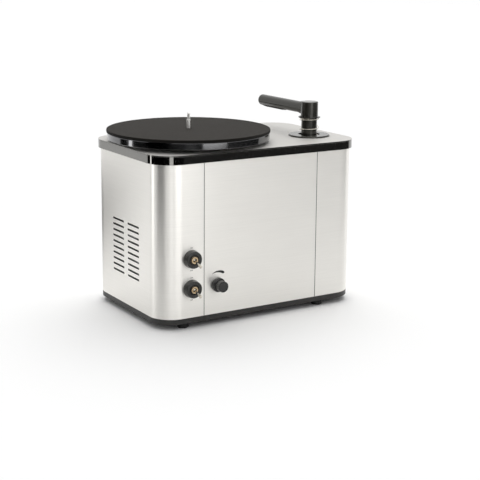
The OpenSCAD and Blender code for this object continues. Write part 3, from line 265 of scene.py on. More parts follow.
class Finish(Tree):
    """A material with a Principled shader, fed by values."""

    def __init__(self, name, **constants):
        self.material = bpy.data.materials.new(name)
        super().__init__(self.material)
        self.shader = self.nodes["Principled BSDF"]
        for socket, value in constants.items():
            self.shader.inputs[socket.replace("_", " ")].default_value = value
        self.place = self.node("ShaderNodeTexCoord", output="Object")

    def noise(self, size, detail=2.0, warp=0.0):
        """Noise from 0 to 1 whose spots are about this many millimetres along X, Y and Z."""
        scale = [1 / (MM * length) for length in size]
        place = self.node("ShaderNodeMapping", {}, {"Vector": self.place, "Scale": scale})
        return self.node("ShaderNodeTexNoise", {}, {
            "Vector": place, "Scale": 1.0, "Detail": detail, "Distortion": warp})

    def blend(self, share, first, second):
        """A colour between two others."""
        return self.node(
            "ShaderNodeMix", {"data_type": "RGBA"}, {0: share, 6: first, 7: second}, output=2)

    def surface(self, base, roughness, height=None, depth=0.05):
        """Feeds the shader its colour, its roughness and a relief of so many millimetres."""
        self.feed(self.shader.inputs["Base Color"], base)
        self.feed(self.shader.inputs["Roughness"], roughness)
        if height is not None:
            bump = self.node("ShaderNodeBump", {}, {
                "Height": height, "Distance": depth * MM, "Strength": 1.0}, output="Normal")
            self.feed(self.shader.inputs["Normal"], bump)
        return self.material


# %% [markdown]
# ### Metals
# Metal is seen by what it reflects, so its finish is mostly roughness and relief. Brushed
# sheet gets noise drawn out along the scratches, turned metal gets fine lines that run round
# it, and zinc plate gets a mottle. Gloss black is made as a dark mirror, because plain black
# plastic reflects too little from above to show the pale patches of the photograph.

# %% Metal finishes
def brushed(name, tone, along, stretch, metal=1.0, dull=0.0, gloss=0.5):
    """Brushed sheet. Along is the size of a scratch in millimetres on X, Y and Z."""
    finish = Finish(name, Metallic=metal, Anisotropic=stretch, Anisotropic_Rotation=0.25,
                    Specular_IOR_Level=gloss)
    long_lines = finish.noise([length * 2 for length in along], detail=3)
    fine_lines = finish.noise(along, detail=2)
    cloud = finish.noise((90, 90, 70), detail=1)
    mark = long_lines * 0.5 + fine_lines * 0.3 + cloud * 0.2
    base = finish.blend(mark, shade(tone, 0.9), shade(tone, 1.08))
    roughness = (0.3 + dull) + 0.14 * fine_lines
    return finish.surface(base, roughness, fine_lines * 0.6 + long_lines * 0.4, 0.012)


def machined(name, tone, roughness=0.3):
    """Turned or drawn metal with fine lines that run round it."""
    finish = Finish(name, Metallic=1.0)
    lines = finish.noise((9, 9, 0.25), detail=2)
    stain = finish.noise((14, 14, 14), detail=3)
    base = finish.blend(stain * 0.6 + lines * 0.4, shade(tone, 0.84), shade(tone, 1.08))
    return finish.surface(base, roughness * 0.75 + lines * roughness * 0.5, lines, 0.01)


def plated(name, tone, roughness=0.35):
    """Zinc or nickel plate: a soft mottle of slightly different greys."""
    finish = Finish(name, Metallic=1.0)
    mottle = finish.noise((5, 5, 5), detail=4)
    grain = finish.noise((0.4, 0.4, 0.4))
    base = finish.blend(mottle, shade(tone, 0.8), shade(tone, 1.12))
    return finish.surface(base, roughness * 0.7 + mottle * roughness * 0.6, grain, 0.008)


def black_mirror(name, tone, roughness):
    """Polished black plate: a dark mirror with fine wipe marks and a little dust."""
    finish = Finish(name, Metallic=1.0, Coat_Roughness=0.03, Coat_Weight=0.2)
    wipes = finish.noise((40, 12, 0.8), detail=2)
    dust = finish.noise((0.7, 0.7, 0.7), detail=3).above(0.68, 0.05)
    clean = finish.blend(wipes, shade(tone, 0.88), shade(tone, 1.12))
    base = finish.blend(dust, clean, shade(tone, 1.8))
    dulled = roughness * 0.8 + wipes * roughness * 0.4 + dust * 0.2
    return finish.surface(base, dulled, wipes, 0.003)


# %% [markdown]
# ### Dyed metal, plastic, rubber and felt
# These scatter light, so their colour counts for more than their reflections. A fine grain
# keeps them from looking like glass, and a slow cloud varies the tone as handling does.
# Felt and velvet also get a sheen, which is how the tips of short fibres catch light. The
# sides of felt are painted darker than its top, as painted shade, so that finish asks which
# way a surface faces.

# %% Black and plastic finishes
def anodised(name, tone, roughness=0.2):
    """Black anodised aluminium: half gloss, with fine turning lines under the dye."""
    finish = Finish(name, Metallic=0.5, Specular_IOR_Level=0.7)
    lines = finish.noise((12, 12, 0.35), detail=2)
    cloud = finish.noise((20, 20, 20), detail=2)
    base = finish.blend(lines * 0.5 + cloud * 0.5, shade(tone, 0.75), shade(tone, 1.3))
    return finish.surface(base, roughness * 0.8 + lines * roughness * 0.4, lines, 0.012)


def moulded(name, tone, roughness=0.5, grain=0.5):
    """Moulded plastic: an even fine grain, duller in places."""
    finish = Finish(name)
    grit = finish.noise((grain, grain, grain), detail=3)
    cloud = finish.noise((16, 16, 16), detail=2)
    base = finish.blend(grit * 0.5 + cloud * 0.5, shade(tone, 0.8), shade(tone, 1.25))
    return finish.surface(base, roughness * 0.85 + grit * roughness * 0.3, grit, 0.03)


def rubber(name, tone):
    """Rubber: matt, with a faint bloom."""
    finish = Finish(name, Specular_IOR_Level=0.3)
    grit = finish.noise((0.6, 0.6, 0.6), detail=3)
    bloom = finish.noise((11, 11, 11), detail=3).above(0.5, 0.25)
    base = finish.blend(bloom, tone, shade(tone, 1.7))
    return finish.surface(base, 0.62 + 0.25 * grit, grit, 0.04)


def fibres(name, tone, pale, size, relief, sheen, side_shade=1.0):
    """Felt or velvet: crossed short fibres and paler specks, and sides darkened as painted shade.
    """
    finish = Finish(name, Sheen_Weight=sheen, Sheen_Roughness=0.4, Specular_IOR_Level=0.15)
    one_way = finish.noise((size * 5, size, size), detail=3, warp=1.2)
    other_way = finish.noise((size, size * 5, size), detail=3, warp=1.2)
    cloud = finish.noise((35, 35, 35), detail=3)
    mat = one_way * 0.35 + other_way * 0.35 + cloud * 0.3
    facing = finish.node("ShaderNodeNewGeometry", output="Normal")
    level = finish.node("ShaderNodeSeparateXYZ", {}, {0: facing}, output="Z").above(0.6, 0.2)
    # Faces that don't look up get a darker tone here: painted shade on the sides of the felt.
    edge = finish.blend(mat, shade(tone, side_shade), shade(pale, side_shade))
    base = finish.blend(level, edge, finish.blend(mat, tone, pale))
    return finish.surface(base, 0.8 + 0.15 * one_way, one_way + other_way, relief)


# %% [markdown]
# ### One finish for each slot
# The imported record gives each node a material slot. This table gives each slot its finish,
# so that a finish is changed in one place, and then every CAD node gets its own, also the
# nodes inside the cabinet.

# %% The finish of each material slot
slot_finish = {
    "shell_steel": brushed("brushed_shell", colour(240, 238, 233), (55, 55, 0.3), 0.75),
    "top_steel": brushed("brushed_top", colour(202, 200, 196), (55, 0.3, 8), 0.0, 0.25, 0.1, 0.12),
    "deck_black": black_mirror("deck_mirror", colour(122, 121, 118), 0.05),
    "base_black": moulded("base_satin", colour(34, 33, 31), 0.4),
    "foot_rubber": rubber("foot_rubber", colour(22, 22, 22)),
    "platter_black": black_mirror("platter_mirror", colour(106, 106, 107), 0.11),
    # The mat's last number makes the sides of its felt a quarter as bright: painted shade.
    "mat_felt": fibres("mat_felt", colour(25, 22, 19), colour(45, 41, 35), 0.35, 0.12, 0.05, 0.25),
    "polished_steel": machined("spindle_steel", colour(226, 225, 222), 0.34),
    "spring_steel": machined("spring_wire", colour(225, 220, 208), 0.3),
    "arm_black": anodised("arm_anodised", colour(54, 53, 48), 0.17),
    "plain_aluminium": machined("turned_aluminium", colour(190, 191, 192)),
    "plain_steel": plated("zinc_plate", colour(175, 177, 180)),
    "screw_steel": plated("screw_zinc", colour(120, 120, 122), 0.3),
    "bushing_brass": machined("bushing_plate", colour(200, 177, 143), 0.24),
    "lever_nickel": machined("lever_nickel", colour(214, 208, 196), 0.16),
    "bezel_black": moulded("bezel_satin", colour(40, 40, 38), 0.2),
    "knob_black": moulded("knob_satin", colour(28, 28, 27), 0.2),
    "seal_rubber": rubber("seal_rubber", colour(26, 26, 26)),
    "hose_black": rubber("hose_rubber", colour(44, 44, 44)),
    "hose_clear": moulded("hose_milky", colour(196, 204, 192), 0.3, 1.5),
    "pad_velvet": fibres("pad_velvet", colour(30, 28, 28), colour(66, 62, 62), 0.2, 0.2, 0.5),
    "tank_white": moulded("tank_milky", colour(222, 222, 214), 0.4, 0.8),
    "gear_plastic": moulded("gear_nylon", colour(222, 218, 206), 0.45),
    "motor_steel": plated("motor_plate", colour(184, 186, 188), 0.3),
    "winding_copper": machined("winding_copper", colour(176, 116, 66), 0.35),
    "board_green": moulded("board_lacquer", colour(44, 112, 68), 0.3, 1.2),
    "socket_black": moulded("socket_plastic", colour(30, 30, 30), 0.5),
    "lever_red": moulded("lever_plastic", colour(150, 38, 34), 0.4),
}
slot_of = {row["node"]: row["material_slot"] for row in frame["record"]["subparts"]}
body_of = {node: body for body, nodes in frame["record"]["behaviour"]["bodies"].items()
           for node in nodes}
for node, cad in frame["nodes"].items():
    for place in cad.material_slots:
        place.material = slot_finish[slot_of[node]]
print("finishes:", len(slot_finish))

# %% [markdown]
# ## Floor and screens
# The floor is a plain white sheet that keeps the machine's shadow. The dark screens are
# bands of a cylinder, spun from one upright edge. Only reflections see them, and they give
# the deck and the platter their black fronts and the cabinet's corner its dark stripe.

# %% Floor and screens
def new_object(name, shape, material):
    """Makes an object of a bmesh, with its place in its mesh."""
    mesh = bpy.data.meshes.new(name)
    shape.to_mesh(mesh)
    shape.free()
    mesh.materials.append(material)
    made = bpy.data.objects.new(name, mesh)
    bpy.context.scene.collection.objects.link(made)
    return made


paper = Finish("floor_paper", Specular_IOR_Level=0.0)
tooth = paper.noise((4, 4, 4), detail=2)
pale, white = (0.985, 0.985, 0.985, 1), (1, 1, 1, 1)
floor_r = 14
sheet = bmesh.new()
bmesh.ops.create_circle(sheet, cap_ends=True, segments=64, radius=floor_r)
floor = new_object("floor", sheet, paper.surface(paper.blend(tooth, pale, white), 0.95))


def cloth(name, tone):
    """A matt cloth of one grey."""
    finish = Finish(name, Specular_IOR_Level=0.0)
    weave = finish.noise((9, 9, 9))
    return finish.surface(finish.blend(weave, shade(tone, 0.8), shade(tone, 1.2)), 0.95)


black_cloth, deep_cloth, dark_cloth, grey_cloth = (
    cloth(name, colour(tone, tone, tone)) for name, tone in (
        ("black_cloth", 6), ("deep_cloth", 20), ("dark_cloth", 70), ("grey_cloth", 125)))


def screen(name, first, last, distance, low_edge, high_edge, fabric):
    """A dark band between two azimuths, in degrees, round the machine."""
    band = bmesh.new()
    start = Matrix.Rotation(math.radians(first), 3, "Z") @ Vector((distance, 0, 0))
    corners = [band.verts.new(start + Vector((0, 0, height))) for height in (low_edge, high_edge)]
    upright = band.edges.new(corners)
    bmesh.ops.spin(band, geom=corners + [upright], cent=(0, 0, 0), axis=(0, 0, 1),
                   angle=math.radians(last - first), steps=24)
    made = new_object(name, band, fabric)
    made.visible_camera = made.visible_diffuse = False
    made.visible_shadow = made.visible_transmission = False
    return made


# Name, first and last azimuth in degrees, distance, lower and upper edge in metres, cloth.
front_screen = screen("front_screen", 138, 290, 1.35, 0, 0.25, deep_cloth)
right_screen = screen("right_screen", 290, 352, 1.35, 0, 0.25, dark_cloth)
corner_screen = screen("corner_screen", 184, 215, 0.8, 0, 0.9, black_cloth)
left_screen = screen("left_screen", 98, 133, 0.62, 0, 0.17, grey_cloth)

# %% [markdown]
# ## Rounded edges
# No sheet or turned part has a truly sharp edge. Light catches on the small rounding, and
# that thin bright line tells the eye that the part is real. Most of the visible CAD nodes
# are copied, their loose triangles are merged into flat faces, and their sharp edges are
# bevelled. A Bevel modifier could do it too, but would first need the same merging. The copy
# rides on the same body and stands for the node. The normals of every piece are weighted by
# the size of its faces, so that flat walls stay flat up to the rounding.

# %% Helpers for pieces
def finish_piece(name, shape, node, soft_angle=35, replaces=True, slot=None):
    """Gives a shape its finish, its body and, where it stands for a node, its place."""
    slot = slot or slot_of[node]
    made = new_object(name, shape, slot_finish[slot])
    made.data.polygons.foreach_set("use_smooth", [True] * len(made.data.polygons))
    made.data.set_sharp_from_angle(angle=math.radians(soft_angle))
    even = made.modifiers.new("even_normals", "WEIGHTED_NORMAL")
    even.mode = "FACE_AREA"
    even.keep_sharp = True
    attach(made, body_of[node])
    if replaces:
        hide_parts(node)
    print(name, len(made.data.polygons), "faces")
    return made


def refined(node, radius, segments=2, least_angle=28):
    """A copy of a CAD node whose sharp edges are bevelled."""
    shape = bmesh.new()
    shape.from_mesh(frame["nodes"][node].data)
    bmesh.ops.remove_doubles(shape, verts=shape.verts, dist=0.004 * MM)
    bmesh.ops.dissolve_limit(shape, angle_limit=math.radians(0.6), verts=shape.verts,
                             edges=shape.edges)
    sharp = [edge for edge in shape.edges
             if edge.is_manifold and edge.calc_face_angle() > math.radians(least_angle)]
    bmesh.ops.bevel(shape, geom=sharp, offset=radius * MM, offset_type="OFFSET", segments=segments,
                    profile=0.5, affect="EDGES", clamp_overlap=True, material=-1)
    return finish_piece(node + "_piece", shape, node)


# %% [markdown]
# Thick, machined parts have the widest rounding, in millimetres, and thin sheet has the
# smallest. The left shell has more than the right one, because the lips of its stamped
# vents are rounded, and that rounding widens the painted shade on the lips.

# %% Rounded pieces of the cabinet and the arm
edge_radius = {
    "deck_slab": 0.7, "top_plate": 0.4, "base_plate": 0.6, "left_shell": 0.45,
    "right_shell": 0.2, "front_panel": 0.2, "rear_panel": 0.2, "feet": 0.5, "arm_flange": 0.3,
    "spring_washer": 0.25, "clip_ring": 0.15, "suction_tube": 0.2, "elbow_cap": 0.3,
    "arm_tube": 0.15, "arm_end_plug": 0.2, "switch_bezels": 0.25, "switch_bodies": 0.12,
    "power_inlet": 0.3, "drain_valve": 0.3, "drain_lever": 0.4}
pieces = {node: refined(node, radius) for node, radius in edge_radius.items()}

# %% [markdown]
# Some nodes show two finishes, so chosen faces get a second material. The nut that holds a
# bezel is black round a bright bushing, and the inside of the bushing is painted black as
# painted shade. The sheet edges at the seams and in the vents are painted dark as well, as
# painted shade in these gaps, and the edge of the top plate is lacquered together with the
# deck under it.

# %% Second finishes and painted shade
wall = low("front_panel").y
bushing_r, bore_r, slack = 6.0, 3.6, 0.2
switch_x = middle("upper_lever").x
bezel_r = (high("switch_bezels").x - low("switch_bezels").x) / 2
switch_heights = (low("switch_bezels").z + bezel_r, high("switch_bezels").z - bezel_r)
# The side walls lie beyond this X, and the vents in this part of the left one.
side_wall = 190
vents_half, vents_low, vents_high = 60, 60, 190
# A face's normal has a part of 1 along the axis that it looks straight along.
looks_along, vent_lip, looks_up = 0.9, 0.95, 0.5


def repaint(node, slot, chosen):
    """Gives the faces for which chosen(centre, normal, corners) is true another finish."""
    mesh = pieces[node].data
    mesh.materials.append(slot_finish[slot])
    count = 0
    for face in mesh.polygons:
        corners = [mesh.vertices[index].co / MM for index in face.vertices]
        if chosen(face.center / MM, face.normal, corners):
            face.material_index = len(mesh.materials) - 1
            count += 1
    print(node, "has", count, "faces of", slot)


def from_switch(corners):
    """The furthest corner from the nearer switch's axis."""
    return min(max(math.hypot(corner.x - switch_x, corner.z - height) for corner in corners)
               for height in switch_heights)


# The nut is black, and the bore inside the bushing is painted black too: painted shade in the
# hole.
repaint("switch_bodies", "bezel_black", lambda centre, normal, corners:
        centre.y < wall and not bore_r < from_switch(corners) < bushing_r + slack)
repaint("top_plate", "deck_black", lambda centre, normal, corners: abs(normal.z) < looks_up)
# The panels' edges at the seams are painted black: painted shade in the gaps.
for panel in ("front_panel", "rear_panel"):
    repaint(panel, "bezel_black", lambda centre, normal, corners: abs(normal.x) > looks_along)
# The shells' edges at the seams are painted black as well: painted shade in the gaps.
for shell in ("left_shell", "right_shell"):
    repaint(shell, "bezel_black", lambda centre, normal, corners:
            abs(centre.x) < side_wall and abs(normal.x) > looks_along)
# The lips of the vents get dark rubber: painted shade inside the slots.
repaint("left_shell", "foot_rubber", lambda centre, normal, corners:
        centre.x < -side_wall and abs(centre.y) < vents_half
        and vents_low < centre.z < vents_high and abs(normal.x) < vent_lip)

# %% [markdown]
# ## Turned pieces
# The platter, the mat, the spindle, the knob and the drain hose are round, so each is one
# profile spun through a full turn. The spin merges its last step with its first, the poles
# on the axis are merged, and the normals are worked out again, because a spin can turn a
# shape inside out.

# %% Turned pieces
def turned(profile, centre, steps, closed=False):
    """Spins a profile of radii and heights, in millimetres, round an upright axis."""
    shape = bmesh.new()
    corners = [shape.verts.new((radius * MM, 0, height * MM)) for radius, height in profile]
    lines = [shape.edges.new(pair) for pair in zip(corners, corners[1:] + corners[:1] * closed)]
    bmesh.ops.spin(shape, geom=corners + lines, cent=(0, 0, 0), axis=(0, 0, 1), angle=math.tau,
                   steps=steps, use_merge=True)
    bmesh.ops.remove_doubles(shape, verts=shape.verts, dist=0.001 * MM)
    bmesh.ops.recalc_face_normals(shape, faces=shape.faces)
    bmesh.ops.translate(shape, vec=(centre[0] * MM, centre[1] * MM, 0), verts=shape.verts)
    return shape


# %% [markdown]
# ## Platter
# The platter is a flat gloss black disc. A rounded copy of the CAD disc would show its
# straight sides in its own reflections, so the profile is spun anew in finer steps. The rim
# leans inwards by one and a half degrees, as on a part that has to lift out of its mould. In
# the mirror of the rim that small lean decides how much of the floor and how much of the
# studio shows. Narrow chamfers catch the light at both edges.

# %% The platter
platter_axis = middle("platter")
platter_low, platter_high = low("platter").z, high("platter").z
platter_r = (high("platter").x - low("platter").x) / 2
hub_hole_r = 6
lean = 0.24
platter_shape = turned([
    (hub_hole_r, platter_low), (platter_r - 1.2, platter_low),
    (platter_r - 0.8, platter_low + 0.1), (platter_r - 0.1, platter_low + 0.6),
    (platter_r, platter_low + 0.9), (platter_r - lean, platter_high - 0.8),
    (platter_r - lean - 0.25, platter_high - 0.2), (platter_r - lean - 0.8, platter_high),
    (hub_hole_r, platter_high)], platter_axis, 192, closed=True)
finish_piece("platter_piece", platter_shape, "platter", soft_angle=15)

# %% [markdown]
# ## Mat
# The mat overhangs the platter a little, as the photograph shows. Cut felt never keeps a
# sharp corner, so its profile has a soft curve at both edges, wider at the top. A bevel
# would make the two curves equal.

# %% The mat
mat_low, mat_high = low("platter_mat").z, high("platter_mat").z
mat_r = (high("platter_mat").x - low("platter_mat").x) / 2
hole_r = 4.6
mat_shape = turned([
    (hole_r, mat_low), (mat_r - 1.2, mat_low), (mat_r - 0.35, mat_low + 0.35),
    (mat_r, mat_low + 1.2), (mat_r, mat_high - 1.5), (mat_r - 0.4, mat_high - 0.45),
    (mat_r - 1.5, mat_high), (hole_r + 0.6, mat_high), (hole_r, mat_high - 0.6)],
    platter_axis, 180, closed=True)
finish_piece("mat_piece", mat_shape, "platter_mat", soft_angle=60)

# %% [markdown]
# ## Spindle
# A record sits on the plain part, and the part above is threaded. A bump map would leave
# the outline smooth, so the ridge is real geometry: a small triangle is spun up a helix of
# 1 mm pitch round a core, by giving each step of the spin a small rise.

# %% The spindle
spindle_low, spindle_high = low("spindle").z, high("spindle").z
shaft_r = (high("spindle").x - low("spindle").x) / 2
plain_r, threaded_l = 3.6, 12
plain_top = spindle_high - threaded_l
thread_r, pitch, thread_steps, run_out = 3.0, 1.0, 24, 1.5
root_r = thread_r - 0.55
spindle_shape = turned([
    (0, spindle_low), (shaft_r, spindle_low), (shaft_r, mat_low), (plain_r, mat_low),
    (plain_r, plain_top - 0.5), (plain_r - 0.5, plain_top), (root_r, plain_top),
    (root_r, spindle_high - 0.4), (root_r - 0.4, spindle_high), (0, spindle_high)],
    platter_axis, 48)
thread_turns = (spindle_high - plain_top - run_out) / pitch
axis_point = platter_axis * MM
corners = []
for radius, height in ((root_r - 0.1, -0.45), (thread_r, 0), (root_r - 0.1, 0.45)):
    corners.append(spindle_shape.verts.new(Vector((
        axis_point.x + radius * MM, axis_point.y, (plain_top + 0.5 + height) * MM))))
ridge = spindle_shape.faces.new(corners)
bmesh.ops.spin(spindle_shape, geom=[ridge], cent=(axis_point.x, axis_point.y, 0),
               axis=(0, 0, 1), dvec=(0, 0, pitch * MM / thread_steps),
               angle=math.tau * thread_turns, steps=round(thread_steps * thread_turns))
bmesh.ops.recalc_face_normals(spindle_shape, faces=spindle_shape.faces)
finish_piece("spindle_piece", spindle_shape, "spindle", soft_angle=40)

# %% [markdown]
# ## Lift spring
# The spring carries the arm and lets it sink. Its wire makes a closed curl at each end and
# two open curls between, which rise mostly at the far side. A ring of wire is spun round the
# tube one small step at a time, each step with its own rise.

# %% The lift spring
tube_axis = middle("lift_spring") * MM
seat = low("lift_spring").z
wire_r = 0.75
coil_r = 17.45
seat_gap, end_rise, open_rise, open_curls = 0.25, 2.1, 17.4, 2
spring_front = 235
ring_steps, wire_sides = 36, 10


def coil_height(curl):
    """The height of the wire's middle over the seat, after so many curls."""
    base = seat_gap + wire_r
    if curl < 1:
        return base + end_rise * curl
    if curl > 1 + open_curls:
        return base + end_rise * (curl - open_curls) + open_rise * open_curls
    wave = (open_rise - end_rise) / math.tau * math.sin(math.tau * (curl - 1))
    return base + end_rise + open_rise * (curl - 1) - wave


coil = bmesh.new()
ring = bmesh.ops.create_circle(coil, segments=wire_sides, radius=wire_r * MM)["verts"]
start = math.radians(spring_front)
to_start = (
    Matrix.Translation((tube_axis.x, tube_axis.y, 0)) @ Matrix.Rotation(start, 4, "Z")
    @ Matrix.Translation((coil_r * MM, 0, (seat + coil_height(0)) * MM))
    @ Matrix.Rotation(math.pi / 2, 4, "X"))
bmesh.ops.transform(coil, matrix=to_start, verts=ring)
end = list(coil.edges)
last = (open_curls + 2) * ring_steps
for step in range(last):
    rise = coil_height((step + 1) / ring_steps) - coil_height(step / ring_steps)
    spun = bmesh.ops.spin(coil, geom=end, cent=(tube_axis.x, tube_axis.y, 0), axis=(0, 0, 1),
                          dvec=(0, 0, rise * MM), angle=math.tau / ring_steps, steps=1)
    end = [part for part in spun["geom_last"] if isinstance(part, bmesh.types.BMEdge)]
open_ends = [edge for edge in coil.edges if edge.is_boundary]
bmesh.ops.holes_fill(coil, edges=open_ends, sides=wire_sides)
bmesh.ops.recalc_face_normals(coil, faces=coil.faces)
spring = finish_piece("spring_piece", coil, "lift_spring", soft_angle=50)
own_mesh(spring)

# %% [markdown]
# ## Velvet pads
# Two strips of velvet are wrapped on the underside of the arm, one each side of the suction
# slot, so that the arm wipes the record softly. Each is a long section, thinner toward its
# ends, spun about the arm's own axis, and then its corners are rounded.

# %% The velvet pads
arm_axis = middle("arm_end_plug")
pad_low, pad_high = low("suction_pads"), high("suction_pads")
arm_r = (high("arm_tube").x - low("arm_tube").x) / 2
pad_t, sunk, slope, end_t = 1.6, 0.1, 14, 0.5
first_edge, last_edge = math.radians(9.19), math.radians(32)
length, thick = pad_high.y - pad_low.y, pad_t + sunk
outline = [(0, 0), (length, 0), (length, end_t), (length - slope, thick), (slope, thick),
           (0, end_t)]
pads = bmesh.new()
for side in (1, -1):
    corners = [pads.verts.new(Vector((
        arm_axis.x, pad_low.y + along, arm_axis.z - arm_r + sunk - out)) * MM)
        for along, out in outline]
    section = pads.faces.new(corners)
    bmesh.ops.rotate(pads, verts=corners, cent=arm_axis * MM,
                     matrix=Matrix.Rotation(side * first_edge, 3, "Y"))
    bmesh.ops.spin(pads, geom=[section], cent=arm_axis * MM, axis=(0, side, 0),
                   angle=last_edge - first_edge, steps=8)
bmesh.ops.recalc_face_normals(pads, faces=pads.faces)
ends = [edge for edge in pads.edges if edge.calc_face_angle(0) > math.radians(60)]
bmesh.ops.bevel(pads, geom=ends, offset=0.4 * MM, offset_type="OFFSET", segments=3, profile=0.5,
                affect="EDGES", clamp_overlap=True, material=-1)
pad_piece = finish_piece("pads_piece", pads, "suction_pads", soft_angle=80)

# %% [markdown]
# ## Speed knob
# The knob has a wide skirt and a narrow grip with fine flutes. The profile is spun upright,
# the points of the grip are pulled inwards in waves, and then the knob is laid over so that
# its axis points out of the front panel. The flutes could be cut with booleans, but moving
# the points keeps the surface smooth. The skirt's lip stands a little wider than the node.

# %% The speed knob
knob_axis = middle("control_knob")
lip = 0.4
skirt_r = (high("control_knob").x - low("control_knob").x) / 2 + lip
reach = wall - low("control_knob").y
stub = wall - high("control_knob").y
stub_r, hollow_r, grip_r = 3, 7.5, 9.8
knob = turned([
    (0, stub), (stub_r, stub), (stub_r, 6.2), (hollow_r, 6.2), (hollow_r, 0.8),
    (skirt_r - 0.4, 0.8), (skirt_r, 1.2), (skirt_r, 5.1), (skirt_r - 0.7, 5.8),
    (grip_r + 0.4, 6.1), (grip_r, 6.5), (grip_r, 8), (grip_r, 10), (grip_r, reach - 1.2),
    (grip_r - 0.3, reach - 0.4), (grip_r - 0.9, reach), (grip_r - 1.8, reach),
    (grip_r - 2.2, reach - 0.35), (0, reach - 0.35)], (0, 0), 192)
flutes, flute_depth, grip_foot, tolerance = 24, 0.45, 6.4, 0.01
for point in knob.verts:
    radius = point.co.to_2d().length
    if abs(radius - grip_r * MM) < tolerance * MM and point.co.z > grip_foot * MM:
        wave = (0.5 + 0.5 * math.cos(flutes * math.atan2(point.co.y, point.co.x))) ** 2
        point.co.xy *= 1 - flute_depth * wave / grip_r
laid = (Matrix.Translation((knob_axis.x * MM, wall * MM, knob_axis.z * MM))
        @ Matrix.Rotation(math.pi / 2, 4, "X"))
bmesh.ops.transform(knob, matrix=laid, verts=knob.verts)
finish_piece("knob_piece", knob, "control_knob", soft_angle=32)

# %% [markdown]
# ## Levers
# A toggle lever is a tapered bat with a round tip. The CAD lever has that shape already, so
# each is copied with its corners merged and the few sharp edges rounded. Smooth shading
# then takes away the facets.

# %% The levers
for node in ("upper_lever", "lower_lever"):
    refined(node, 0.15, least_angle=50)

# %% [markdown]
# ## Screws of the rear panel
# Six screws with domed heads hold the rear panel. Each is a row of rings along its axis,
# bridged from the end of the shank to the top of the head. The last two rings have six
# sides and lead back into the head, as the socket for the key. Such rings need no boolean,
# which could leave stray edges in so small a shape.

# %% Screws
rear_wall = high("rear_panel").y
screw_low, screw_high = low("panel_screws"), high("panel_screws")
shank_r, head_r = 1.4, 3.0
key_r, key_floor_r = 1.35, 1.2
head_out = screw_high.y - rear_wall
stations = (
    (shank_r, screw_low.y - rear_wall, 24), (shank_r, 0, 24), (head_r, 0, 24),
    (head_r, head_out * 0.45, 24), (head_r - 0.45, head_out * 0.85, 24),
    (head_r - 1.0, head_out, 24), (key_r, head_out, 6), (key_floor_r, head_out * 0.3, 6))
screws = bmesh.new()
for x in (screw_low.x + head_r, screw_high.x - head_r):
    for z in (screw_low.z + head_r, (screw_low.z + screw_high.z) / 2, screw_high.z - head_r):
        rings = []
        for radius, out, sides in stations:
            made = bmesh.ops.create_circle(screws, segments=sides, radius=radius * MM)["verts"]
            place = (Matrix.Translation(Vector((x, rear_wall + out, z)) * MM)
                     @ Matrix.Rotation(-math.pi / 2, 4, "X"))
            bmesh.ops.transform(screws, matrix=place, verts=made)
            rings.append(list({edge for vert in made for edge in vert.link_edges}))
        for first, second in zip(rings, rings[1:]):
            bmesh.ops.bridge_loops(screws, edges=first + second)
        bmesh.ops.contextual_create(screws, geom=rings[0])
        bmesh.ops.contextual_create(screws, geom=rings[-1])
bmesh.ops.recalc_face_normals(screws, faces=screws.faces)
finish_piece("screws_piece", screws, "panel_screws", soft_angle=25)

# %% [markdown]
# ## Hoses
# The two air hoses inside are ribbed, so that they bend without folding. Each is a row of
# rings along its path, alternately wide and narrow, bridged into a tube and then given a
# wall. A curve with a bevel would be shorter to write, but would have no ribs.

# %% Helpers for hoses
rib, rib_pitch, hose_wall, bend_r = 0.9, 5, 1.2, 45
hose_low, hose_high = low("suction_hose"), high("suction_hose")
hose_r = (hose_high.x - hose_low.x) / 2


def hose(name, node, stations):
    """A ribbed tube over stations, which are the places of its rings."""
    tube = bmesh.new()
    rings = []
    for count, place in enumerate(stations):
        radius = hose_r - rib * (count % 2)
        made = bmesh.ops.create_circle(tube, segments=32, radius=radius * MM)["verts"]
        bmesh.ops.transform(tube, matrix=place, verts=made)
        rings.append(list({edge for vert in made for edge in vert.link_edges}))
    for first, second in zip(rings, rings[1:]):
        bmesh.ops.bridge_loops(tube, edges=first + second)
    bmesh.ops.recalc_face_normals(tube, faces=tube.faces)
    bmesh.ops.solidify(tube, geom=tube.faces, thickness=hose_wall * MM)
    return finish_piece(name, tube, node, soft_angle=50)


def run(start, end, lean):
    """Rings along a straight run in the plane of X and Z, which leans so far from upright."""
    start, end = Vector(start), Vector(end)
    count = max(2, 2 * round((end - start).length / rib_pitch))
    turn = Matrix.Rotation(math.radians(lean), 4, "Y")
    return [Matrix.Translation(start.lerp(end, step / count) * MM) @ turn
            for step in range(count + 1)]


def corner(centre, first, last):
    """Rings round a quarter bend, from one angle to a smaller one."""
    count = 2 * round(math.radians(first - last) * bend_r / rib_pitch)
    rings = []
    for step in range(1, count):
        angle = math.radians(first + (last - first) * step / count)
        spot = Vector(centre) + bend_r * Vector((math.cos(angle), 0, math.sin(angle)))
        rings.append(Matrix.Translation(spot * MM) @ Matrix.Rotation(math.pi - angle, 4, "Y"))
    return rings


# %% [markdown]
# The suction hose is one straight run. The vacuum hose rises, turns over in two quarter
# bends and comes down again, so its rings are three runs and two bends joined in a row.

# %% The two air hoses
hose_middle = middle("suction_hose")
hose("suction_hose_piece", "suction_hose", run(
    (hose_middle.x, hose_middle.y, hose_low.z), (hose_middle.x, hose_middle.y, hose_high.z), 0))

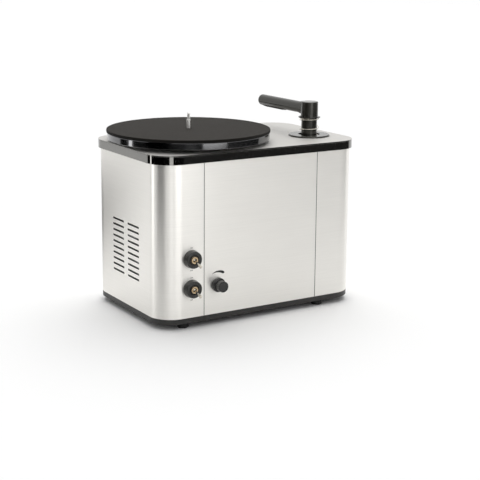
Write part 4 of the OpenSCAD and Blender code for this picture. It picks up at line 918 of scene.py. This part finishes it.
vacuum_low, vacuum_high = low("vacuum_hose"), high("vacuum_hose")
vacuum_y = middle("vacuum_hose").y
left_x, right_x, run_z = vacuum_low.x + hose_r, vacuum_high.x - hose_r, vacuum_high.z - hose_r
bend_z = run_z - bend_r
hose("vacuum_hose_piece", "vacuum_hose",
     run((left_x, vacuum_y, vacuum_low.z), (left_x, vacuum_y, bend_z), 0)
     + corner((left_x + bend_r, vacuum_y, bend_z), 180, 90)
     + run((left_x + bend_r, vacuum_y, run_z), (right_x - bend_r, vacuum_y, run_z), 90)
     + corner((right_x - bend_r, vacuum_y, bend_z), 90, 0)
     + run((right_x, vacuum_y, bend_z), (right_x, vacuum_y, hose_low.z), 180))

# %% [markdown]
# ## Drain hose and seals
# The drain hose is a short smooth tube, so its wall is one profile spun and laid over. The
# two seals of the guide are plain rings of rubber cord: a small circle spun round the tube.

# %% The drain hose and the seals of the guide
drain_low, drain_high, drain = low("drain_hose"), high("drain_hose"), middle("drain_hose")
drain_r, drain_bore_r, chamfer = (drain_high.x - drain_low.x) / 2, 5, 0.4
drain_length = drain_high.y - drain_low.y
drain_shape = turned([
    (drain_bore_r, 0), (drain_r - chamfer, 0), (drain_r, chamfer),
    (drain_r, drain_length - chamfer), (drain_r - chamfer, drain_length),
    (drain_bore_r, drain_length)], (0, 0), 48, closed=True)
along = (Matrix.Translation(Vector((drain.x, drain_low.y, drain.z)) * MM)
         @ Matrix.Rotation(-math.pi / 2, 4, "X"))
bmesh.ops.transform(drain_shape, matrix=along, verts=drain_shape.verts)
finish_piece("drain_hose_piece", drain_shape, "drain_hose")

cord_r = 1.3
seal_axis = middle("guide_seals") * MM
seal_r = (high("guide_seals").x - low("guide_seals").x) / 2 - cord_r
seals = bmesh.new()
for height in (low("guide_seals").z + cord_r, high("guide_seals").z - cord_r):
    made = bmesh.ops.create_circle(seals, segments=12, radius=cord_r * MM)["verts"]
    place = (Matrix.Translation((seal_axis.x + seal_r * MM, seal_axis.y, height * MM))
             @ Matrix.Rotation(math.pi / 2, 4, "X"))
    bmesh.ops.transform(seals, matrix=place, verts=made)
    section = made + list({edge for vert in made for edge in vert.link_edges})
    bmesh.ops.spin(seals, geom=section, cent=seal_axis, axis=(0, 0, 1), angle=math.tau,
                   steps=64, use_merge=True)
bmesh.ops.remove_doubles(seals, verts=seals.verts, dist=0.001 * MM)
bmesh.ops.recalc_face_normals(seals, faces=seals.faces)
finish_piece("seals_piece", seals, "guide_seals", soft_angle=60)

# %% [markdown]
# ## Marks on the front
# A swelling wedge over the knob says which way is faster. It is one short line spun round
# the knob and then narrowed towards its thin end. A picture texture could carry the marks
# as well, but a thin solid stays sharp from near by. Each mark is as thick as a coat of ink.

# %% The wedge
ink_t = 0.06


def on_wall(x, z, out=0.0):
    """Turns a flat shape upright and puts it on the front wall."""
    return (Matrix.Translation(Vector((x, wall - out, z)) * MM)
            @ Matrix.Rotation(math.pi / 2, 4, "X"))


wedge = bmesh.new()
arc_r, half_width, least_half = 23.4, 2.8, 0.12
first_turn, last_turn, wedge_steps = 121, 56, 28
swell, blunt_from, blunt_over = 0.8, 0.8, 0.2
line = [wedge.verts.new(Vector((arc_r + side, 0, 0)) * MM) for side in (-1, 1)]
wedge_line = wedge.edges.new(line)
bmesh.ops.rotate(wedge, verts=line, cent=(0, 0, 0),
                 matrix=Matrix.Rotation(math.radians(first_turn), 3, "Z"))
bmesh.ops.spin(wedge, geom=line + [wedge_line], cent=(0, 0, 0), axis=(0, 0, 1),
               angle=math.radians(last_turn - first_turn), steps=wedge_steps)
for point in wedge.verts:
    turned_to = math.degrees(math.atan2(point.co.y, point.co.x))
    share = (first_turn - turned_to) / (first_turn - last_turn)
    blunt = math.sqrt(max(0.0, 1 - max(0.0, (share - blunt_from) / blunt_over) ** 2))
    taper = share ** swell * blunt
    side = 1 if point.co.length > arc_r * MM else -1
    point.co = point.co.normalized() * (arc_r + side * max(least_half, half_width * taper)) * MM
bmesh.ops.recalc_face_normals(wedge, faces=wedge.faces)
bmesh.ops.solidify(wedge, geom=wedge.faces, thickness=ink_t * MM)
bmesh.ops.transform(wedge, matrix=on_wall(knob_axis.x, knob_axis.z, ink_t / 2), verts=wedge.verts)
finish_piece("speed_mark", wedge, "front_panel", replaces=False, slot="bezel_black")

# %% [markdown]
# The switches are marked ON and OFF. A word is a text object first, because Blender then
# sets the letters, and its mesh is taken from it. Capitals are about seven tenths as high
# as the size of their font.

# %% The words
capital_share = 0.72
on_size, on_above, off_size, off_below = 2.6, 19.3, 2.4, 20.6


def printed(name, word, height, x, z):
    """A word printed on the front wall, its letters so many millimetres high."""
    writing = bpy.data.curves.new(name, "FONT")
    writing.body = word
    writing.size = height / capital_share * MM
    writing.extrude = ink_t / 2 * MM
    writing.align_x = writing.align_y = "CENTER"
    carrier = bpy.data.objects.new(name, writing)
    letters = bmesh.new()
    letters.from_mesh(bpy.data.meshes.new_from_object(carrier))
    bpy.data.objects.remove(carrier)
    bmesh.ops.remove_doubles(letters, verts=letters.verts, dist=0.001 * MM)
    bmesh.ops.transform(letters, matrix=on_wall(x, z, ink_t / 2), verts=letters.verts)
    return finish_piece(name, letters, "left_shell", replaces=False, slot="bezel_black")


for name, height in zip(("lower", "upper"), switch_heights):
    printed(name + "_on_mark", "ON", on_size, switch_x, height + on_above)
    printed(name + "_off_mark", "OFF", off_size, switch_x, height - off_below)
